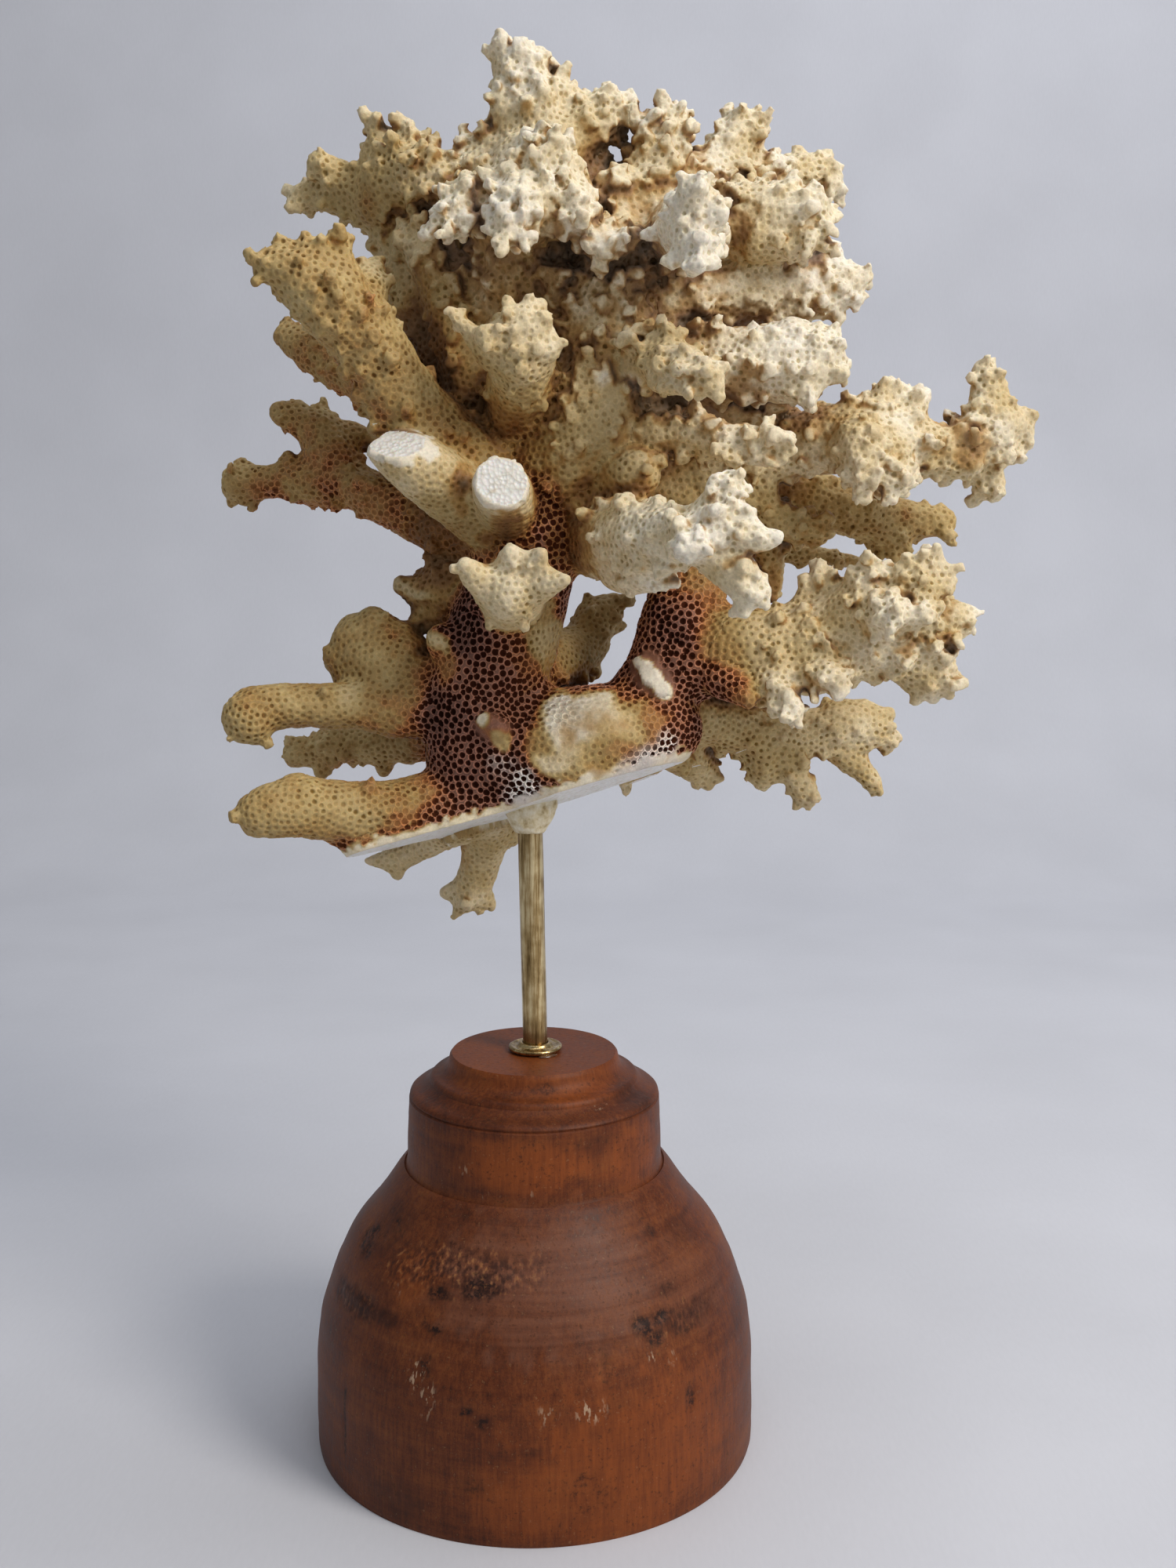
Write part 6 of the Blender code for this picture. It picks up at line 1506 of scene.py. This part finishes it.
def lumpy_material(name, size, depth, stops, **shader_values):
    """A set or dried paste whose colour and height follow the same small lumps."""
    add, shader = new_material(name, IOR=1.5, **shader_values)
    place = add("ShaderNodeTexCoord").outputs["Object"]
    lumps = add("ShaderNodeTexNoise",
                {"Vector": place, "Scale": 1 / (size * MM), "Detail": 4.0, "Roughness": 0.6})
    wide = add("ShaderNodeMapRange", {"Value": lumps, "From Min": 0.3, "From Max": 0.7})
    colour = add("ShaderNodeValToRGB", {"Fac": wide}, stops=stops)
    bump = add("ShaderNodeBump", {"Height": lumps, "Distance": depth * MM})
    use(shader, Base_Color=colour, Normal=bump)


def backdrop_material(pale):
    """A pale grey cloth drawn smooth: matt, with a hardly visible plain weave."""
    add, shader = new_material("pale grey backdrop cloth", Roughness=0.9, IOR=1.45)
    place = add("ShaderNodeTexCoord").outputs["Object"]
    # The threads are drawn about twice as thick as real ones, so that the picture holds them
    threads = add("ShaderNodeTexNoise",
                  {"Vector": add("ShaderNodeMapping", {"Vector": place, "Scale": (1, 0.25, 0.25)}),
                   "Scale": 1 / (0.9 * MM), "Detail": 2.0})
    cloud = add("ShaderNodeTexNoise", {"Vector": place, "Scale": 1 / (70 * MM), "Detail": 2.0})
    tone = add("ShaderNodeMath", {0: threads, 1: 0.4, 2: cloud}, operation="MULTIPLY_ADD")
    tone = add("ShaderNodeMapRange",
               {"Value": tone, "From Min": 0.45, "From Max": 0.95, "To Min": 0.95, "To Max": 1.02})
    colour = add("ShaderNodeVectorMath", {0: tuple(pale), "Scale": tone}, operation="SCALE")
    bump = add("ShaderNodeBump", {"Height": threads, "Distance": 0.05 * MM, "Strength": 0.3})
    use(shader, Base_Color=colour, Normal=bump)


class CoralSettings(bpy.types.PropertyGroup):
    """Sizes of the coral's surface."""

    pore_spacing: FloatProperty(
        name="Pore spacing", description="Distance from one pore's middle to the next",
        default=1.38 * MM, min=0.5 * MM, max=5 * MM, subtype="DISTANCE", unit="LENGTH")
    pore_radius: FloatProperty(
        name="Pore radius", description="Radius of a pore's dark hole",
        default=0.5 * MM, min=0.1 * MM, max=2 * MM, subtype="DISTANCE", unit="LENGTH")
    pore_depth: FloatProperty(
        name="Pore depth", description="How far a pore is sunk into the surface",
        default=0.5 * MM, min=0.0, max=2 * MM, subtype="DISTANCE", unit="LENGTH")
    knob_spacing: FloatProperty(
        name="Knob spacing", description="Least distance between two knobs",
        default=3.4 * MM, min=1 * MM, max=10 * MM, subtype="DISTANCE", unit="LENGTH")
    knob_radius: FloatProperty(
        name="Knob radius", description="Middle radius of the knobs on the tips",
        default=1.65 * MM, min=0.3 * MM, max=5 * MM, subtype="DISTANCE", unit="LENGTH")
    lump_height: FloatProperty(
        name="Lump height", description="How far the limbs swell and shrink along their way",
        default=0.45 * MM, min=0.0, max=5 * MM, subtype="DISTANCE", unit="LENGTH")
    skin_voxel: FloatProperty(
        name="Skin voxel", description="Grid size of the limbs' first skin",
        default=0.8 * MM, min=0.4 * MM, max=3 * MM, subtype="DISTANCE", unit="LENGTH")
    surface_voxel: FloatProperty(
        name="Surface voxel", description="Grid size of the finished surface",
        default=0.45 * MM, min=0.3 * MM, max=2 * MM, subtype="DISTANCE", unit="LENGTH")
    seed: IntProperty(
        name="Seed", description="Starts the random places of pores and knobs",
        default=7, min=0, max=1000)


class StageSettings(bpy.types.PropertyGroup):
    """Floor, light and camera."""

    floor_colour: FloatVectorProperty(
        name="Floor colour", description="Colour of the floor and of the backdrop",
        default=linear("d1d2d7"), min=0.0, max=1.0, subtype="COLOR")
    key_power: FloatProperty(
        name="Key light", description="Power of the large soft light at the front right",
        default=5.7, min=0.0, max=1000.0, subtype="POWER", unit="POWER")
    fill_power: FloatProperty(
        name="Fill light", description="Power of the wide light overhead",
        default=3.6, min=0.0, max=1000.0, subtype="POWER", unit="POWER")
    backdrop_power: FloatProperty(
        name="Backdrop light", description="Power of the light that falls on the backdrop",
        default=2.4, min=0.0, max=1000.0, subtype="POWER", unit="POWER")
    room_light: FloatProperty(
        name="Room light", description="Strength of the even light from all round",
        default=0.30, min=0.0, max=5.0)
    focal_length: FloatProperty(
        name="Focal length", description="Lens length on a 36 mm high picture",
        default=38.574, min=10.0, max=200.0, subtype="DISTANCE_CAMERA", unit="CAMERA")
    camera_drop: FloatProperty(
        name="Camera drop", description="How far the camera looks down",
        default=math.radians(8.19), min=0.0, max=1.5, subtype="ANGLE", unit="ROTATION")


def add_area_light(name, place, target, size, power, colour):
    light = bpy.data.lights.new(name, "AREA")
    light.shape = "DISK"
    light.size = size
    light.energy = power
    light.color = linear(colour)
    obj = bpy.data.objects.new(name, light)
    bpy.context.scene.collection.objects.link(obj)
    obj.location = place
    obj.rotation_euler = (Vector(target) - Vector(place)).to_track_quat("-Z", "Y").to_euler()


class CORAL_OT_stage(bpy.types.Operator):
    """Make the pale floor that curves up into a backdrop, the soft lights and the camera"""

    bl_idname = "coral.stage"
    bl_label = "Stage"

    def execute(self, context):
        settings = context.scene.coral_stage
        backdrop_material(settings.floor_colour)
        shape = bmesh.new()
        foot, bend = WALL_Y - WALL_BEND, WALL_BEND
        profile = [(-FLOOR_REACH, 0.0), (foot, 0.0)]
        profile += [(foot + bend * math.sin(turn), bend - bend * math.cos(turn))
                    for turn in np.linspace(0.06, math.pi / 2, 24)]
        profile += [(WALL_Y, 0.6), (WALL_Y, 1.6)]
        rows = [[shape.verts.new((x, y, z)) for x in (-FLOOR_REACH, FLOOR_REACH)] for y, z in profile]
        for low, high in zip(rows, rows[1:]):
            face = shape.faces.new((low[0], low[1], high[1], high[0]))
            face.smooth = True
        mesh = bpy.data.meshes.new("backdrop")
        shape.to_mesh(mesh)
        shape.free()
        put_object("backdrop", mesh, "pale grey backdrop cloth")
        add_area_light("key light", (0.64, -0.50, 0.66), (0, 0, 0.17), 0.4, settings.key_power,
                       "fff8f0")
        add_area_light("overhead light", (0.15, -0.25, 1.1), (0, 0.05, 0.1), 1.0, settings.fill_power,
                       "f2f6ff")
        add_area_light("backdrop light", (0.36, 0.30, 1.0), (0.26, WALL_Y, 0.4), 0.8,
                       settings.backdrop_power, "f2f6ff")
        world = bpy.data.worlds.new("room light")
        context.scene.world = world
        world.use_nodes = True
        world.node_tree.nodes.clear()
        sky = add_node(world.node_tree, "ShaderNodeBackground",
                       {"Color": "eceff4", "Strength": settings.room_light})
        add_node(world.node_tree, "ShaderNodeOutputWorld", {"Surface": sky})
        camera = bpy.data.cameras.new("camera")
        camera.sensor_fit = "VERTICAL"
        camera.sensor_height = 36
        camera.lens = settings.focal_length
        eye = bpy.data.objects.new("camera", camera)
        context.scene.collection.objects.link(eye)
        eye.location = EYE * MM
        eye.rotation_euler = (math.pi / 2 - settings.camera_drop, 0, 0)
        context.scene.camera = eye
        context.scene.view_settings.view_transform = "Standard"
        return {"FINISHED"}


class CORAL_OT_base(bpy.types.Operator):
    """Turn the wooden base with its steps, tool rings, torn grain and stains"""

    bl_idname = "coral.base"
    bl_label = "Wooden base"

    def execute(self, context):
        wood_material()
        outer = refined_rings(WOOD_RINGS, WOOD_STEP)
        top = WOOD_RINGS[-1][1]
        flat = [(r, top) for r in np.arange(WOOD_RINGS[-1][0] - 0.7, WOOD_BORE + 0.3, -0.8)]
        bore = [(WOOD_BORE, top - 0.2), (WOOD_BORE, WOOD_BORE_FLOOR), (0, WOOD_BORE_FLOOR)]
        under = [(0, 0), (15, 0), (30, 0), (44, 0)]
        profile = [*under, *outer, *flat, *bore]
        mesh = turned_mesh("wood_base_finish", profile, WOOD_SIDES)
        wear_wood(mesh)
        mesh.set_sharp_from_angle(angle=math.radians(40))
        obj = put_object("wood_base_finish", mesh, "turned stained hardwood")
        finished(obj, ["wood_base"])
        return {"FINISHED"}


class CORAL_OT_rod(bpy.types.Operator):
    """Make the brass rod that carries the coral"""

    bl_idname = "coral.rod"
    bl_label = "Brass rod"

    def execute(self, context):
        brass_material("tarnished drawn brass", 0.05, "6a5433", "ab9163", "e2cfa2")
        obj = put_object("brass_rod_finish", rod_mesh(), "tarnished drawn brass")
        finished(obj, ["brass_rod"])
        return {"FINISHED"}


class CORAL_OT_collar(bpy.types.Operator):
    """Make the pressed brass collar and the glue that has run out from under it"""

    bl_idname = "coral.collar"
    bl_label = "Collar and glue"

    def execute(self, context):
        brass_material("pressed brass", 0.8, "6f5836", "ad9262", "dcc898")
        obj = put_object("brass_collar_finish", collar_mesh(), "pressed brass")
        finished(obj, ["brass_collar"])
        # Old clear glue: brown and wet-looking
        lumpy_material("brown glue", 0.9, 0.1, [(0.0, "24130c"), (1.0, "6b4626")], Roughness=0.08,
                       Coat_Weight=0.5, Coat_Roughness=0.05)
        finished(put_object("glue_bead", glue_mesh(), "brown glue"), [])
        return {"FINISHED"}


class CORAL_OT_filler(bpy.types.Operator):
    """Make the lumpy filler round the top of the rod"""

    bl_idname = "coral.filler"
    bl_label = "Filler"

    def execute(self, context):
        # Filler set hard: dull and lumpy, a little darker in its hollows
        lumpy_material("cream filler", 1.6, 0.25, [(0.0, "a58f63"), (0.4, "d3c39c"), (1.0, "e9e1cb")],
                       Roughness=0.7)
        obj = put_object("rod_filler_finish", filler_mesh(), "cream filler")
        finished(obj, ["rod_filler"])
        return {"FINISHED"}


class CORAL_OT_limbs(bpy.types.Operator):
    """Grow the coral's limbs, with their knobs and pores, and split them at the main forks"""

    bl_idname = "coral.limbs"
    bl_label = "Coral limbs"

    def execute(self, context):
        settings = context.scene.coral_surface
        coral_material(settings)
        sawn_material()
        tubes = limb_tube_tree()
        guide = run_tree(route_object(LIMBS), tubes, Sides=TUBE_SIDES)
        skin = rough_skin(tubes, settings.skin_voxel)
        values = [("tone", 14, "FLOAT", "POINT"), ("knobby", 6, "FLOAT", "POINT"),
                  ("growth", 6, "FLOAT_VECTOR", "POINT")]
        run_tree(skin, value_tree("skin values", values), Guide=guide)
        swell(skin.data, settings.lump_height, settings.knob_radius * 0.45)
        surface = put_object("coral surface", skin.data.copy())
        knobs = knob_tree()
        run_tree(surface, knobs, Spacing=settings.knob_spacing, Longest=1.35,
                 Radius=settings.knob_radius, Seed=settings.seed)
        run_tree(surface, knobs, Spacing=settings.knob_spacing * 0.72, Longest=1.3,
                 Radius=settings.knob_radius * 0.65, Seed=settings.seed + 1)
        melt(surface, settings.surface_voxel, 3)
        values = [("tone", 0, "FLOAT", "POINT"), ("knobby", 0, "FLOAT", "POINT")]
        run_tree(surface, value_tree("surface values", values), Guide=skin)
        values = [("limb", 0, "FLOAT", "FACE")]
        run_tree(surface, value_tree("limb numbers", values), Guide=guide)
        twist(surface.data, 0.55 * MM)
        run_tree(surface, shelter_tree(), Reach=SHELTER_REACH)
        flatten_saw_cuts(surface.data)
        weather_and_shade(surface.data)
        run_tree(surface, pore_tree(), Spacing=settings.pore_spacing, Radius=settings.pore_radius,
                 Depth=settings.pore_depth, Seed=settings.seed)
        split_coral(surface)
        for helper in (guide, skin, surface):
            drop(helper)
        return {"FINISHED"}


class CORAL_PT_panel(bpy.types.Panel):
    """Lists the settings and the buttons that make the pieces"""

    bl_idname = "CORAL_PT_panel"
    bl_label = "Branching Coral"
    bl_space_type = "VIEW_3D"
    bl_region_type = "UI"
    bl_category = "Coral"

    def draw(self, context):
        for settings in (context.scene.coral_surface, context.scene.coral_stage):
            box = self.layout.box()
            for name in settings.__annotations__:
                box.prop(settings, name)
        column = self.layout.column()
        for operator in OPERATORS:
            column.operator(operator.bl_idname)


OPERATORS = (CORAL_OT_stage, CORAL_OT_base, CORAL_OT_rod, CORAL_OT_collar, CORAL_OT_filler,
             CORAL_OT_limbs)
CLASSES = (CoralSettings, StageSettings, *OPERATORS, CORAL_PT_panel)


def register():
    for cls in CLASSES:
        bpy.utils.register_class(cls)
    bpy.types.Scene.coral_surface = PointerProperty(type=CoralSettings)
    bpy.types.Scene.coral_stage = PointerProperty(type=StageSettings)


def unregister():
    del bpy.types.Scene.coral_stage
    del bpy.types.Scene.coral_surface
    for cls in reversed(CLASSES):
        bpy.utils.unregister_class(cls)


def main():
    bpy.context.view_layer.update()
    register()
    bpy.ops.coral.stage()
    bpy.ops.coral.base()
    bpy.ops.coral.rod()
    bpy.ops.coral.collar()
    bpy.ops.coral.filler()
    bpy.ops.coral.limbs()


if __name__ == "__main__":
    main()
